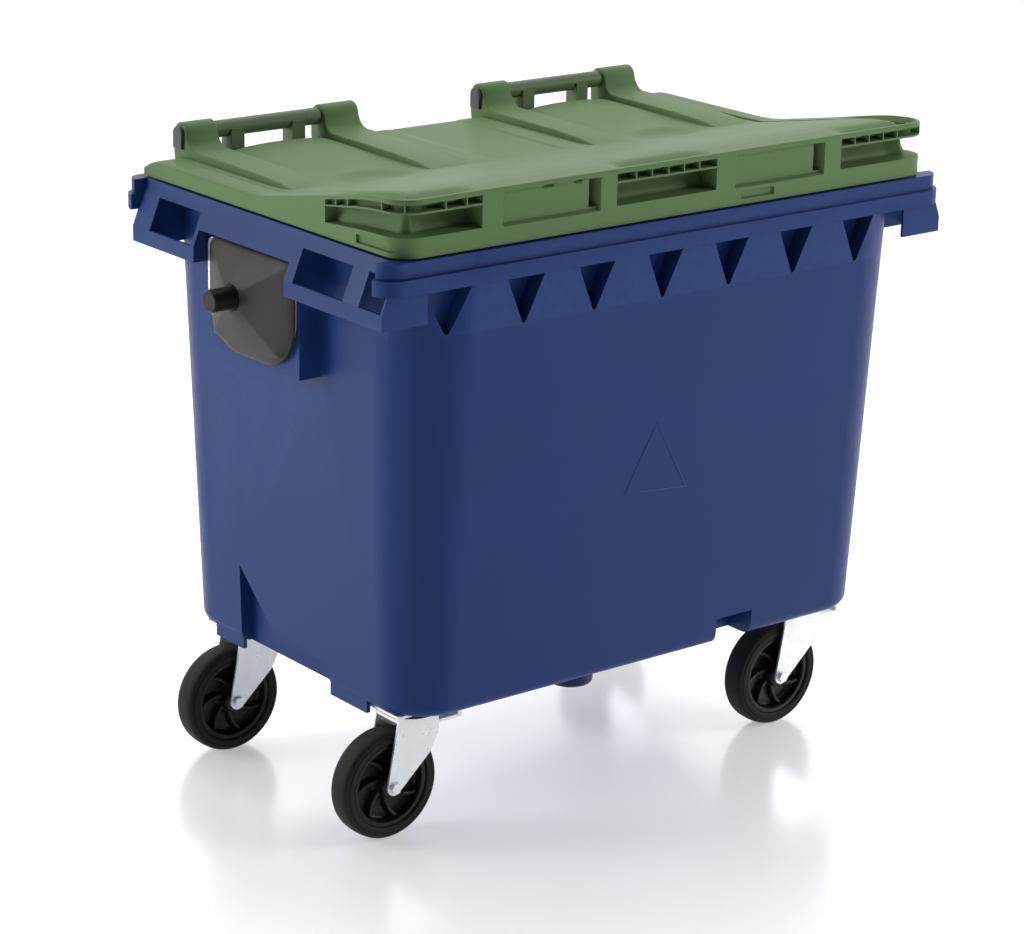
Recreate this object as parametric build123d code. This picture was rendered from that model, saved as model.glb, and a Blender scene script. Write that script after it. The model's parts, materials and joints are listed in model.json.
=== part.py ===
"""Four-wheeled litter bin: moulded tub on four castors, hinged flat lid, side trunnions.

Frame: origin on the floor under the middle of the rim, +X to the right, -Y to the front,
+Z up. All sizes are in millimetres.
"""
import os

from build123d import *

# ---------------------------------------------------------------- tub and rim
RIM_LENGTH = 1265.0          # over the lower rim band, left to right
RIM_DEPTH = 800.0            # over the lower rim band, front to back
RIM_TOP = 1069.0
BAND_HEIGHT = 27.0           # height of each of the two rim bands
BAND_STEP = 6.5              # the upper band stands this far inside the lower one
RIM_RADIUS = 38.0
WHEEL_DIAMETER = 200.0
BASE_CLEARANCE = 40.0        # from the top of a wheel to the underside of the tub
BASE_Z = WHEEL_DIAMETER + BASE_CLEARANCE     # underside of the tub, where the castors are bolted
BASE_LENGTH = RIM_LENGTH - 189.0
BASE_DEPTH = RIM_DEPTH - 102.0
BASE_RADIUS = 95.0
BASE_FILLET = 22.0
SIDE_OVERHANG = 68.5         # the rim stands this far out from the wall at each end
FRONT_OVERHANG = 6.0         # and this far at the front and rear
BODY_TOP_LENGTH = RIM_LENGTH - 2 * SIDE_OVERHANG
BODY_TOP_DEPTH = RIM_DEPTH - 2 * FRONT_OVERHANG
BODY_TOP_RADIUS = 127.0
WALL = 5.0
FLANGE = 8.0                 # thickness of the flat top of the rim
MOUTH_LEDGE = 50.0           # width of the rim from the front edge in to the mouth

COMB_COUNT = 7
COMB_MARGIN = 200.3          # length of the rim that the comb leaves free
COMB_PITCH = (RIM_LENGTH - COMB_MARGIN) / COMB_COUNT
COMB_HEIGHT = 82.0           # from the apex up to the lower edge of the band
COMB_HALF_WIDTH = 40.0
COMB_DEPTH = 36.0
COMB_OFFSET = -35.5          # the middle pocket stands this far left of centre
COMB_POST = 12.0             # post left beside the first and last pocket
COMB_TIP = 3.0               # half width of a pocket's blunt lower tip
SHELF_SLOPE = 40.0           # drop of the sloping shelf behind the pockets

# ---------------------------------------------------------------- side skirts
SKIRT_TOP_X = RIM_LENGTH / 2 - 32.5
SKIRT_BOTTOM_Z = RIM_TOP - 109.0
SKIRT_KNEE_Z = RIM_TOP - 81.0
SKIRT_FRONT = RIM_DEPTH / 2 - 11.0
SKIRT_REAR = RIM_DEPTH / 2 - 42.0
WEB_REACH = 60.0             # from the skirt's top in to the webs' inner edge
WEB_MARGIN = 8.0             # from a window to the next web
WINDOW_REACH = 25.0          # from the skirt's top in to a window's inner edge
WINDOW_TOP_Z = RIM_TOP - 24.0
TRUNNION_Y = 34.0
TRUNNION_Z = RIM_TOP - 142.0
HOUSING_FRONT = 146.0        # from the trunnion axis to the housing's front face
HOUSING_REAR = 128.0
HOUSING_DROP = 119.0         # from the trunnion axis down to the housing's lower edge
HOUSING_X = SKIRT_TOP_X      # outer face of the housing
HOUSING_HEAD = 52.0          # from the rim's top down to the skirt's gap over the housing
HOUSING_SLOT = 30.0          # half width of the housing's open middle
WINDOWS = (                  # y ranges
    (-RIM_DEPTH / 2 + 15.0, -RIM_DEPTH / 2 + 76.0),
    (-RIM_DEPTH / 2 + 120.0, TRUNNION_Y - HOUSING_FRONT - 25.0),
    (TRUNNION_Y + HOUSING_REAR + 10.0, RIM_DEPTH / 2 - 96.0),
)

# ---------------------------------------------------------------- base details
NOTCH_LEFT = 158.0
NOTCH_RIGHT = 244.0
NOTCH_HEIGHT = 50.0
NOTCH_DEPTH = 60.0
RECESS_FRONT = -115.0
RECESS_REAR = 158.0
RECESS_DEPTH = 22.0
RECESS_LOW = 50.0            # height of the recess at its front end
RECESS_HIGH = 150.0          # height of the recess at its rear end
RECESS_STEP_Y = 55.0
SILL_HEIGHT = 14.0
SILL_WIDTH = 8.0
SILL_INSET = 3.0
SILLS = ((-223.0, -115.0), (158.0, 246.0))

# ---------------------------------------------------------------- trunnions
TRUNNION_REACH = 52.5        # each pin ends this far outside the rim
TRUNNION_SPAN = RIM_LENGTH + 2 * TRUNNION_REACH
TRUNNION_DIAMETER = 40.0
TRUNNION_CORE = TRUNNION_DIAMETER - 14.0
SLEEVE_CAP = 4.0             # plastic over the end of the steel core
SLEEVE_COLLAR = 2.0          # the sleeve's collar under the cover's nose, on the radius
PLATE_THICK = 6.0
PLATE_MARGIN = 8.0
COVER_HEIGHT = 34.0
COVER_WALL = 4.0
COVER_RADIUS = 45.0
COVER_NOSE = TRUNNION_DIAMETER + 14.0        # across the cover around the pin
COVER_SHIFT = 4.0            # the cover stands this far forward on the plate
COVER_TRIM = 2.0             # plate left bare above and below the cover
COVER_INSET = 14.0
TRUNNION_BOLT = 10.0
BOLT_SPREAD = 70.0           # from the trunnion axis to each bolt, front to back
BOLT_RISE = (-70.0, 50.0)    # and down and up

# ---------------------------------------------------------------- lid
LID_GAP = 3.0                # from the rim's top to the lid's lower edge
LID_LENGTH = 2 * SKIRT_TOP_X - 8.0
LID_FRONT = -RIM_DEPTH / 2 + 12.0
LID_REAR = RIM_DEPTH / 2 - 20.0
LID_RADIUS = 42.0
LID_DRAFT = 8.0
LID_WALL = 4.0
LID_FLAT_Z = RIM_TOP + 31.0  # the flat rear part
LID_REAR_DROP = 18.0         # the rear edge stands this far below the flat part
LID_REAR_SLOPE = 30.0        # length of the slope down to the rear edge
LID_FRONT_Z = RIM_TOP + 103.0
LID_CROWN_REACH = 90.0       # from the front edge back to the crown of the ramp
LID_CROWN_RISE = 8.0         # the crown stands this far above a straight ramp
LID_HALF = LID_LENGTH / 2
GRIP_LOW = RIM_TOP + 39.0
GRIP_HIGH = RIM_TOP + 81.0
GRIP_DEPTH = 52.0
GRIPS = (                    # x ranges; the outer two run out at the corners
    (-LID_HALF - 24.0, -LID_HALF + 166.0),
    (-144.0, 80.0),
    (LID_HALF - 221.0, LID_HALF + 24.0),
)
PANEL_LOW = RIM_TOP + 37.0
PANEL_HIGH = LID_FRONT_Z - 4.0
PANEL_DEPTH = 10.0
PANELS = ((-LID_HALF + 209.0, -179.0), (123.0, LID_HALF - 261.0))

# ---------------------------------------------------------------- hinges and handles
HINGE_Y = RIM_DEPTH / 2 - 30.0
HINGE_Z = RIM_TOP + 69.0
HINGE_CENTRE_X = LID_HALF - 261.0
HINGE_PIN = 14.0
HINGE_FIT = 0.05             # radial running fit of the pin in the handle
ARM_LEFT = (-189.0, -121.0)
ARM_RIGHT = (109.0, 189.0)
ARM_EYE_RADIUS = 21.0
ARM_TOP_Z = LID_FLAT_Z + 13.0
ARM_FRONT_Y = HINGE_Y - 310.0
LID_RAMP_Y = HINGE_Y - 345.0 # where the ramp to the front begins
ARM_NECK = 44.0              # from the pin forward to where the arm drops to its ridge
ROOT = 2.0                   # arms and cowls are sunk this far into the lid
COWL = (-60.0, 75.0)         # x range about the middle of the hinge
SIDE_GAP = 1.0               # axial gap between an arm and the handle tube
HANDLE_RADIUS = 15.5
HANDLE_LEGS = ((-91.0, -63.0), (42.0, 70.0))
LEG_FRONT = HINGE_Y - 18.0
LEG_REAR = HINGE_Y + 14.0
FOOT_THICK = 8.0
FOOT_FRONT = HINGE_Y - 24.0
FOOT_REAR = HINGE_Y + 22.0
SCREW_MARGIN = 8.0           # from a leg to the screw beside it
NOTCH_FRONT_Y = HINGE_Y - 40.0               # front of the lid's notch round the handle
PIN_HEAD_THICK = 7.0
PIN_HEAD_DEPTH = 28.0
PIN_HEAD_DROP = 34.0
HANDLE_SCREW = 8.0

# ---------------------------------------------------------------- drain
DRAIN_X = -120.0
DRAIN_Y = -BASE_DEPTH / 2 + 79.0
DRAIN_BORE = 60.0
DRAIN_CAP = DRAIN_BORE + 24.0
DRAIN_CAP_DROP = 32.0
DRAIN_SEAL = 3.0

# ---------------------------------------------------------------- castors
CASTOR_X = BASE_LENGTH / 2 - 82.0
CASTOR_Y = BASE_DEPTH / 2 - 105.0
RUN_GAP = 0.3                # gap between parts that turn past each other
TYRE_WIDTH = 48.0
FORK_GAP = TYRE_WIDTH + 12.0 # between the inner faces of the fork's legs
RIM_DIAMETER = WHEEL_DIAMETER - 44.0
TRAIL = 57.0
HUB_DIAMETER = 46.0
HUB_LENGTH = FORK_GAP - 2 * RUN_GAP
SPOKE_COUNT = 7
AXLE = 12.0
AXLE_FIT = 0.05
BUSH_DIAMETER = 20.0
FORK_PLATE = 4.0
CROWN_Z = BASE_Z - 24.0
CROWN_THICK = 6.0
PLATE_LENGTH = 135.0
PLATE_WIDTH = 110.0
CASTOR_PLATE = 5.0
KING_PIN = 16.0
KING_FIT = 0.05
RACE_DIAMETER = 76.0
RACE_HEIGHT = 6.0
GUARD_DIAMETER = 96.0
CASTOR_BOLT = 10.0
NUT_SEAT = 22.0              # flat seat for each nut on the tub's floor
BOLT_SPAN_X = 105.0
BOLT_SPAN_Y = 80.0
PEDAL_PIVOT_X = 28.0
PEDAL_PIVOT_Z = CROWN_Z - 15.0
PEDAL_REACH = 64.0
PEDAL_WIDTH = 54.0
PEDAL_PIN = 8.0

SIDES = {"left": -1, "right": 1}
CORNERS = {
    "front_left": (-1, -1),
    "front_right": (1, -1),
    "rear_left": (-1, 1),
    "rear_right": (1, 1),
}

BAND_LOW_Z = RIM_TOP - 2 * BAND_HEIGHT
BAND_MID_Z = RIM_TOP - BAND_HEIGHT
MOUTH_FRONT = RIM_DEPTH / 2 - MOUTH_LEDGE
BIG = 3000.0


# ---------------------------------------------------------------- small helpers
def block(x0, x1, y0, y1, z0, z1):
    """A box given by its lowest and highest corners."""
    return Pos((x0 + x1) / 2, (y0 + y1) / 2, (z0 + z1) / 2) * Box(x1 - x0, y1 - y0, z1 - z0)


def section(length, depth, radius, z):
    """A horizontal rounded rectangle at height z."""
    return Pos(0, 0, z) * RectangleRounded(length, depth, radius)


def slab(length, depth, radius, z0, z1):
    """An upright prism with a rounded rectangle as its plan."""
    return extrude(section(length, depth, radius, z0), z1 - z0)


def prism_yz(points, x0, x1):
    """A prism along X with its outline in the YZ plane."""
    outline = Plane.YZ.offset(x0) * Polygon(*points, align=None)
    return extrude(outline, x1 - x0, dir=(1, 0, 0))


def prism_xz(points, y0, y1):
    """A prism along Y with its outline in the XZ plane."""
    outline = Plane.XZ.offset(-y0) * Polygon(*points, align=None)
    return extrude(outline, y1 - y0, dir=(0, 1, 0))


def rod_x(radius, x0, x1, y, z):
    return Pos((x0 + x1) / 2, y, z) * Rot(0, 90, 0) * Cylinder(radius, x1 - x0)


def rod_y(radius, y0, y1, x, z):
    return Pos(x, (y0 + y1) / 2, z) * Rot(90, 0, 0) * Cylinder(radius, y1 - y0)


def rod_z(radius, z0, z1, x, y):
    return Pos(x, y, (z0 + z1) / 2) * Cylinder(radius, z1 - z0)


def hexagon(across, height):
    """A hexagonal prism from z 0 up, given across its flats."""
    return extrude(RegularPolygon(across / 2, 6, major_radius=False), height)


def keep(shape):
    """The solids of a shape as one compound."""
    return Compound(children=list(shape.solids()))


# ---------------------------------------------------------------- tub moulding
def wall_half_depth(z):
    """Half depth of the tub's outer wall at height z."""
    share = (z - BASE_Z) / (BAND_LOW_Z - BASE_Z)
    return (BASE_DEPTH + share * (BODY_TOP_DEPTH - BASE_DEPTH)) / 2


def body_loft(inset, z0):
    """The tub's tapered body, shrunk all round by inset."""
    low = section(BASE_LENGTH - 2 * inset, BASE_DEPTH - 2 * inset, BASE_RADIUS - inset, z0)
    high = section(
        BODY_TOP_LENGTH - 2 * inset,
        BODY_TOP_DEPTH - 2 * inset,
        BODY_TOP_RADIUS - inset,
        BAND_LOW_Z,
    )
    return loft(Sketch() + [low, high])


def base_cuts(grow):
    """Front notch and side recesses of the base, grown by a wall where asked."""
    front = -BASE_DEPTH / 2 - 40
    notch = block(
        NOTCH_LEFT - grow,
        NOTCH_RIGHT + grow,
        front,
        -BASE_DEPTH / 2 + NOTCH_DEPTH + grow,
        BASE_Z - 1,
        BASE_Z + NOTCH_HEIGHT + grow,
    )
    cuts = [notch]
    outline = (
        (RECESS_FRONT - grow, BASE_Z - 1),
        (RECESS_REAR + grow, BASE_Z - 1),
        (RECESS_REAR + grow, BASE_Z + RECESS_HIGH + grow),
        (RECESS_STEP_Y - grow, BASE_Z + RECESS_LOW + grow),
        (RECESS_FRONT - grow, BASE_Z + RECESS_LOW + grow - 10),
    )
    inner = BASE_LENGTH / 2 - RECESS_DEPTH - grow
    cuts.append(prism_yz(outline, inner, inner + 120))
    cuts.append(prism_yz(outline, -inner - 120, -inner))
    return cuts


def comb_pockets():
    """Inverted triangular pockets under the front rim that the lifting comb enters."""
    apex = BAND_LOW_Z - COMB_HEIGHT
    top = RIM_TOP - FLANGE
    pockets = []
    for _, x, _ in comb_edges():
        outline = (
            (x - COMB_TIP, apex),
            (x + COMB_TIP, apex),
            (x + COMB_HALF_WIDTH, BAND_LOW_Z),
            (x - COMB_HALF_WIDTH, BAND_LOW_Z),
        )
        face = wall_half_depth(BAND_LOW_Z)
        pockets.append(prism_xz(outline, -face - 30, -face + COMB_DEPTH))
        pockets.append(
            block(
                x - COMB_HALF_WIDTH,
                x + COMB_HALF_WIDTH,
                -face + WALL,
                -face + COMB_DEPTH,
                BAND_LOW_Z - 1,
                top,
            )
        )
    return pockets


def side_frame(side):
    """Skirt, webs and trunnion housing of one side."""
    knee = RIM_LENGTH / 2
    skirt = prism_xz(
        (
            (SKIRT_TOP_X, RIM_TOP),
            (knee, SKIRT_KNEE_Z),
            (knee, SKIRT_BOTTOM_Z),
            (knee - WALL, SKIRT_BOTTOM_Z),
            (knee - WALL, SKIRT_KNEE_Z - 1),
            (SKIRT_TOP_X - WALL - 1, RIM_TOP),
        ),
        -SKIRT_FRONT,
        SKIRT_REAR,
    )
    web_outline = (
        (SKIRT_TOP_X - WEB_REACH, RIM_TOP),
        (SKIRT_TOP_X - 1, RIM_TOP),
        (knee - 1, SKIRT_KNEE_Z),
        (knee - 1, SKIRT_BOTTOM_Z),
        (SKIRT_TOP_X - WEB_REACH, SKIRT_BOTTOM_Z),
    )
    stations = [-SKIRT_FRONT, SKIRT_REAR - WALL]
    for y0, y1 in WINDOWS:
        stations.append(y1 + WEB_MARGIN)
    stations.append(WINDOWS[-1][0] - WALL - WEB_MARGIN)
    frame = skirt
    for y in stations:
        frame += prism_xz(web_outline, y, y + WALL)
    for y0, y1 in WINDOWS:
        frame -= block(SKIRT_TOP_X - WINDOW_REACH, knee + 10, y0, y1, SKIRT_KNEE_Z, WINDOW_TOP_Z)
    y0 = TRUNNION_Y - HOUSING_FRONT
    y1 = TRUNNION_Y + HOUSING_REAR
    gap = block(SKIRT_TOP_X - 30, knee + 10, y0, y1, SKIRT_BOTTOM_Z - 1, RIM_TOP - HOUSING_HEAD)
    frame -= gap
    low = TRUNNION_Z - HOUSING_DROP
    top = RIM_TOP - 1
    inner = SKIRT_TOP_X - WEB_REACH
    housing = block(inner, HOUSING_X, y0, y1, low, top)
    hollow = block(inner, HOUSING_X - WALL, y0 + WALL, y1 - WALL, low - 1, top - FLANGE)
    slot = (TRUNNION_Y - HOUSING_SLOT, TRUNNION_Y + HOUSING_SLOT)
    hollow -= block(inner - 1, HOUSING_X - WALL, *slot, low - 2, top)
    frame += housing - hollow
    sill_x = BASE_LENGTH / 2 - SILL_WIDTH - SILL_INSET
    for y0, y1 in SILLS:
        frame += block(sill_x, sill_x + SILL_WIDTH, y0, y1, BASE_Z - SILL_HEIGHT, BASE_Z + SILL_HEIGHT)
    if side < 0:
        frame = mirror(frame, Plane.YZ)
    return frame


def tub_moulding():
    """The whole tub as one moulding, before it is divided into nodes."""
    body = body_loft(0, BASE_Z)
    bottom = body.faces().sort_by(Axis.Z)[0]
    body = fillet(bottom.edges(), BASE_FILLET)
    body += slab(BODY_TOP_LENGTH, BODY_TOP_DEPTH, BODY_TOP_RADIUS, BAND_LOW_Z, RIM_TOP)
    lower = slab(RIM_LENGTH, RIM_DEPTH, RIM_RADIUS, BAND_LOW_Z, BAND_MID_Z)
    upper = slab(
        RIM_LENGTH - 2 * BAND_STEP,
        RIM_DEPTH - 2 * BAND_STEP,
        RIM_RADIUS - BAND_STEP,
        BAND_MID_Z,
        RIM_TOP,
    )
    ends = RIM_DEPTH / 2 - RIM_RADIUS
    span = block(-BIG, BIG, -ends, ends, 0, BIG)
    bars = (lower + upper) - span
    hollow = block(
        -RIM_LENGTH / 2 + 30,
        RIM_LENGTH / 2 - 30,
        MOUTH_FRONT - 60,
        RIM_DEPTH / 2 - BAND_STEP - WALL,
        BAND_LOW_Z - 1,
        RIM_TOP - FLANGE,
    )
    bars -= hollow
    flange = slab(
        2 * SKIRT_TOP_X,
        RIM_DEPTH - 2 * BAND_STEP,
        RIM_RADIUS - BAND_STEP,
        RIM_TOP - FLANGE,
        RIM_TOP,
    )
    whole = body + bars + flange
    for side in SIDES.values():
        whole += side_frame(side)
    whole -= base_cuts(0)
    cavity = body_loft(WALL, BASE_Z + WALL)
    floor = cavity.faces().sort_by(Axis.Z)[0]
    cavity = fillet(floor.edges(), BASE_FILLET - WALL)
    throat = slab(
        BODY_TOP_LENGTH - 2 * WALL,
        BODY_TOP_DEPTH - 2 * WALL,
        BODY_TOP_RADIUS - WALL,
        BAND_LOW_Z,
        RIM_TOP + 1,
    )
    cavity += throat
    shelf_low = BAND_LOW_Z - COMB_HEIGHT
    back = wall_half_depth(BAND_LOW_Z) - COMB_DEPTH - WALL
    shelf = prism_yz(
        (
            (-BIG, shelf_low - SHELF_SLOPE),
            (-wall_half_depth(shelf_low) + WALL, shelf_low - SHELF_SLOPE),
            (-back, shelf_low),
            (-back, RIM_TOP + 2),
            (-BIG, RIM_TOP + 2),
        ),
        -BIG,
        BIG,
    )
    cavity -= shelf
    cavity -= base_cuts(WALL)
    whole -= cavity
    whole -= comb_pockets()
    whole -= rod_z(DRAIN_BORE / 2 + RUN_GAP, BASE_Z - 1, BASE_Z + WALL + 1, DRAIN_X, DRAIN_Y)
    for x, y in castor_bolt_places():
        whole -= rod_z(CASTOR_BOLT / 2, BASE_Z - 1, BASE_Z + WALL + 1, x, y)
        whole -= rod_z(NUT_SEAT / 2, BASE_Z + WALL, BASE_Z + 4 * WALL, x, y)
    for x, y in handle_screw_places():
        whole -= rod_z(HANDLE_SCREW / 2, RIM_TOP - FLANGE - 1, RIM_TOP + 1, x, y)
    for side in SIDES.values():
        for y, z in trunnion_bolt_places():
            whole -= rod_x(TRUNNION_BOLT / 2, side * HOUSING_X - 12, side * HOUSING_X + 12, y, z)
    return whole


def layers(shape, axis, stations):
    """The solids of a shape, cut at each station along one axis (0, 1 or 2)."""
    solids = []
    edges = [-BIG, *stations, BIG]
    for low, high in zip(edges, edges[1:]):
        limits = [-BIG, BIG, -BIG, BIG, -BIG, BIG]
        limits[2 * axis] = low
        limits[2 * axis + 1] = high
        piece = shape & block(*limits)
        if piece:
            solids.extend(piece.solids())
    return solids


def comb_edges():
    """Where the comb's pockets begin, have their middles and end, from left to right."""
    edges = []
    for index in range(COMB_COUNT):
        x = COMB_OFFSET + (index - (COMB_COUNT - 1) / 2) * COMB_PITCH
        edges.append((x - COMB_HALF_WIDTH, x, x + COMB_HALF_WIDTH))
    return edges


def comb_solids(front):
    """The comb's rim as simple solids: flange, back wall, bars over and posts between pockets."""
    back_y = -wall_half_depth(BAND_LOW_Z) + COMB_DEPTH
    turn_x = BODY_TOP_LENGTH / 2 - BODY_TOP_RADIUS
    solids = []
    for solid in layers(front, 2, [BAND_LOW_Z, RIM_TOP - FLANGE]):
        height = solid.center().Z
        if height > RIM_TOP - FLANGE:
            solids.append(solid)
            continue
        for piece in layers(solid, 1, [back_y]):
            if piece.center().Y > back_y:
                solids.extend(layers(piece, 0, [-turn_x, turn_x]))
            elif height > BAND_LOW_Z:
                solids.extend(layers(piece, 0, [x for edge in comb_edges() for x in edge[::2]]))
            else:
                solids.extend(layers(piece, 0, [x for edge in comb_edges() for x in edge]))
    return solids


def corner_solids(corner, side):
    """A front corner of the rim as simple solids: the body's corner, and round the window."""
    inner_x = side * (SKIRT_TOP_X - WINDOW_REACH)
    solids = []
    for piece in layers(corner, 0, [inner_x]):
        if abs(piece.center().X) > abs(inner_x):
            solids.extend(layers(piece, 2, [SKIRT_KNEE_Z, WINDOW_TOP_Z]))
        else:
            solids.extend(layers(piece, 2, [RIM_TOP - FLANGE]))
    return solids


def divide_tub(whole):
    """Cut the moulding into a body and three rim nodes that meet face to face."""
    split_z = BAND_LOW_Z - COMB_HEIGHT - 2
    edge_y = MOUTH_FRONT - 30
    edge_x = BODY_TOP_LENGTH / 2 - WALL - 3
    comb_x0 = comb_edges()[0][0] - COMB_POST
    comb_x1 = comb_edges()[-1][-1] + COMB_POST
    front = block(comb_x0, comb_x1, -BIG, -edge_y, split_z, BIG)
    left_corner = block(-BIG, comb_x0, -BIG, -edge_y, split_z, BIG)
    right_corner = block(comb_x1, BIG, -BIG, -edge_y, split_z, BIG)
    left = block(-BIG, -edge_x, -edge_y, edge_y, split_z, BIG)
    right = block(edge_x, BIG, -edge_y, edge_y, split_z, BIG)
    left_solids = corner_solids(whole & left_corner, -1) + list((whole & left).solids())
    right_solids = corner_solids(whole & right_corner, 1) + list((whole & right).solids())
    parts = {
        "rim_front": Compound(children=comb_solids(whole & front)),
        "rim_left": Compound(children=left_solids),
        "rim_right": Compound(children=right_solids),
    }
    rest = whole
    for cutter in (front, left_corner, right_corner, left, right):
        rest = rest - cutter
    parts["tub"] = rest
    return parts


# ---------------------------------------------------------------- places of fasteners
def castor_bolt_places():
    places = []
    for sx, sy in CORNERS.values():
        for dx in (-BOLT_SPAN_X / 2, BOLT_SPAN_X / 2):
            for dy in (-BOLT_SPAN_Y / 2, BOLT_SPAN_Y / 2):
                places.append((sx * CASTOR_X + dx, sy * CASTOR_Y + dy))
    return places


def handle_screw_places():
    places = []
    for side in SIDES.values():
        for low, high in HANDLE_LEGS:
            inner = high + SCREW_MARGIN if low < 0 else low - SCREW_MARGIN
            places.append((side * HINGE_CENTRE_X + inner, (FOOT_FRONT + FOOT_REAR) / 2))
    return places


def trunnion_bolt_places():
    places = []
    for dy in (-BOLT_SPREAD, BOLT_SPREAD):
        for dz in BOLT_RISE:
            places.append((TRUNNION_Y + dy, TRUNNION_Z + dz))
    return places


# ---------------------------------------------------------------- trunnions
def trunnion_pieces(side):
    """Plate with core pin, black sleeve and grey cover, made for the right side."""
    y0 = TRUNNION_Y - HOUSING_FRONT + PLATE_MARGIN
    y1 = TRUNNION_Y + HOUSING_REAR - PLATE_MARGIN / 2
    z0 = TRUNNION_Z - HOUSING_DROP + PLATE_MARGIN
    z1 = BAND_LOW_Z - PLATE_MARGIN
    plate_x = HOUSING_X + PLATE_THICK
    end_x = TRUNNION_SPAN / 2
    plate = block(HOUSING_X, plate_x, y0, y1, z0, z1)
    for y, z in trunnion_bolt_places():
        plate -= rod_x(TRUNNION_BOLT / 2, HOUSING_X - 1, plate_x + 1, y, z)
    plate += rod_x(TRUNNION_CORE / 2, plate_x, end_x - SLEEVE_CAP, TRUNNION_Y, TRUNNION_Z)
    nose_x = plate_x + COVER_HEIGHT
    collar = TRUNNION_DIAMETER / 2 + SLEEVE_COLLAR
    sleeve = rod_x(TRUNNION_DIAMETER / 2, nose_x - 1, end_x, TRUNNION_Y, TRUNNION_Z)
    sleeve = chamfer(sleeve.faces().sort_by(Axis.X)[-1].edges(), 2)
    sleeve += rod_x(collar, plate_x, nose_x, TRUNNION_Y, TRUNNION_Z)
    sleeve -= rod_x(TRUNNION_CORE / 2, plate_x - 1, end_x - SLEEVE_CAP, TRUNNION_Y, TRUNNION_Z)
    middle_y = (y0 + y1) / 2 - COVER_SHIFT
    middle_z = (z0 + z1) / 2
    base_y = y1 - y0 - COVER_INSET
    base_z = z1 - z0 - COVER_TRIM

    def cone(inset, x_low, x_high):
        base = Plane.YZ.offset(x_low) * Pos(middle_y, middle_z) * RectangleRounded(
            base_y - 2 * inset, base_z - 2 * inset, COVER_RADIUS - inset
        )
        nose = Plane.YZ.offset(x_high) * Pos(TRUNNION_Y, TRUNNION_Z) * RectangleRounded(
            COVER_NOSE - 2 * inset, COVER_NOSE - 2 * inset, COVER_NOSE / 2 - inset - 0.5
        )
        return loft(Sketch() + [base, nose])

    cover = cone(0, plate_x, nose_x) - cone(COVER_WALL, plate_x - 0.01, nose_x - COVER_WALL)
    cover -= rod_x(collar, plate_x - 1, nose_x + 1, TRUNNION_Y, TRUNNION_Z)
    pieces = {"trunnion_plate": plate, "trunnion_sleeve": sleeve, "trunnion_cover": cover}
    if side < 0:
        pieces = {name: mirror(piece, Plane.YZ) for name, piece in pieces.items()}
    return pieces


def trunnion_bolts():
    """Bolts through each trunnion plate and housing wall, with a nut inside."""
    solids = []
    plate_x = HOUSING_X + PLATE_THICK
    for side in SIDES.values():
        turn = Rot(0, 90 * side, 0)
        for y, z in trunnion_bolt_places():
            stem = Pos(0, 0, HOUSING_X - WALL) * extrude(Circle(TRUNNION_BOLT / 2), 11)
            head = Pos(0, 0, plate_x) * hexagon(1.7 * TRUNNION_BOLT, 5)
            nut = Pos(0, 0, HOUSING_X - WALL - 8) * hexagon(1.7 * TRUNNION_BOLT, 8)
            solids.append(Pos(0, y, z) * turn * (stem + head + nut))
    return Compound(children=solids)


# ---------------------------------------------------------------- lid
def lid_profile(inset):
    """The side outline of the lid's top, lowered by inset, running past both ends."""
    rise = (LID_FRONT_Z - LID_FLAT_Z) / (LID_RAMP_Y - LID_FRONT)
    crown_y = LID_FRONT + LID_CROWN_REACH
    crown_z = LID_FLAT_Z + rise * (LID_RAMP_Y - crown_y) + LID_CROWN_RISE
    past = 40
    return (
        (LID_REAR + past, RIM_TOP - past),
        (LID_REAR + past, LID_FLAT_Z - LID_REAR_DROP - inset),
        (LID_REAR - LID_REAR_SLOPE, LID_FLAT_Z - inset),
        (LID_RAMP_Y, LID_FLAT_Z - inset),
        (crown_y, crown_z - inset),
        (LID_FRONT, LID_FRONT_Z - inset),
        (LID_FRONT - past, LID_FRONT_Z - inset),
        (LID_FRONT - past, RIM_TOP - past),
    )


def lid_plan(inset):
    """The lid's plan with its rounded corners and drafted sides, shrunk by inset."""
    low = RIM_TOP + LID_GAP - (1 if inset else 0)
    high = LID_FRONT_Z + 20
    depth = LID_REAR - LID_FRONT - 2 * inset
    middle = (LID_REAR + LID_FRONT) / 2
    lower = Pos(0, middle, 0) * section(LID_LENGTH - 2 * inset, depth, LID_RADIUS - inset, low)
    upper = Pos(0, middle, 0) * section(
        LID_LENGTH - 2 * LID_DRAFT - 2 * inset, depth, LID_RADIUS - inset, high
    )
    return loft(Sketch() + [lower, upper])


def lid_pockets(grow):
    """Grip pockets along the front, shallow panels between them, notches at the hinges."""
    boxes = []
    for x0, x1 in GRIPS:
        boxes.append(
            block(
                x0 - grow,
                x1 + grow,
                LID_FRONT - 20,
                LID_FRONT + GRIP_DEPTH + grow,
                GRIP_LOW - grow,
                GRIP_HIGH + grow,
            )
        )
    for x0, x1 in PANELS:
        boxes.append(
            block(
                x0 - grow,
                x1 + grow,
                LID_FRONT - 20,
                LID_FRONT + PANEL_DEPTH + grow,
                PANEL_LOW - grow,
                PANEL_HIGH - grow,
            )
        )
    for side in SIDES.values():
        centre = side * HINGE_CENTRE_X
        boxes.append(
            block(
                centre + ARM_LEFT[1] - grow,
                centre + ARM_RIGHT[0] + grow,
                NOTCH_FRONT_Y - grow,
                LID_REAR + 60,
                RIM_TOP - 20,
                LID_FRONT_Z + 60,
            )
        )
    return boxes


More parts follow.
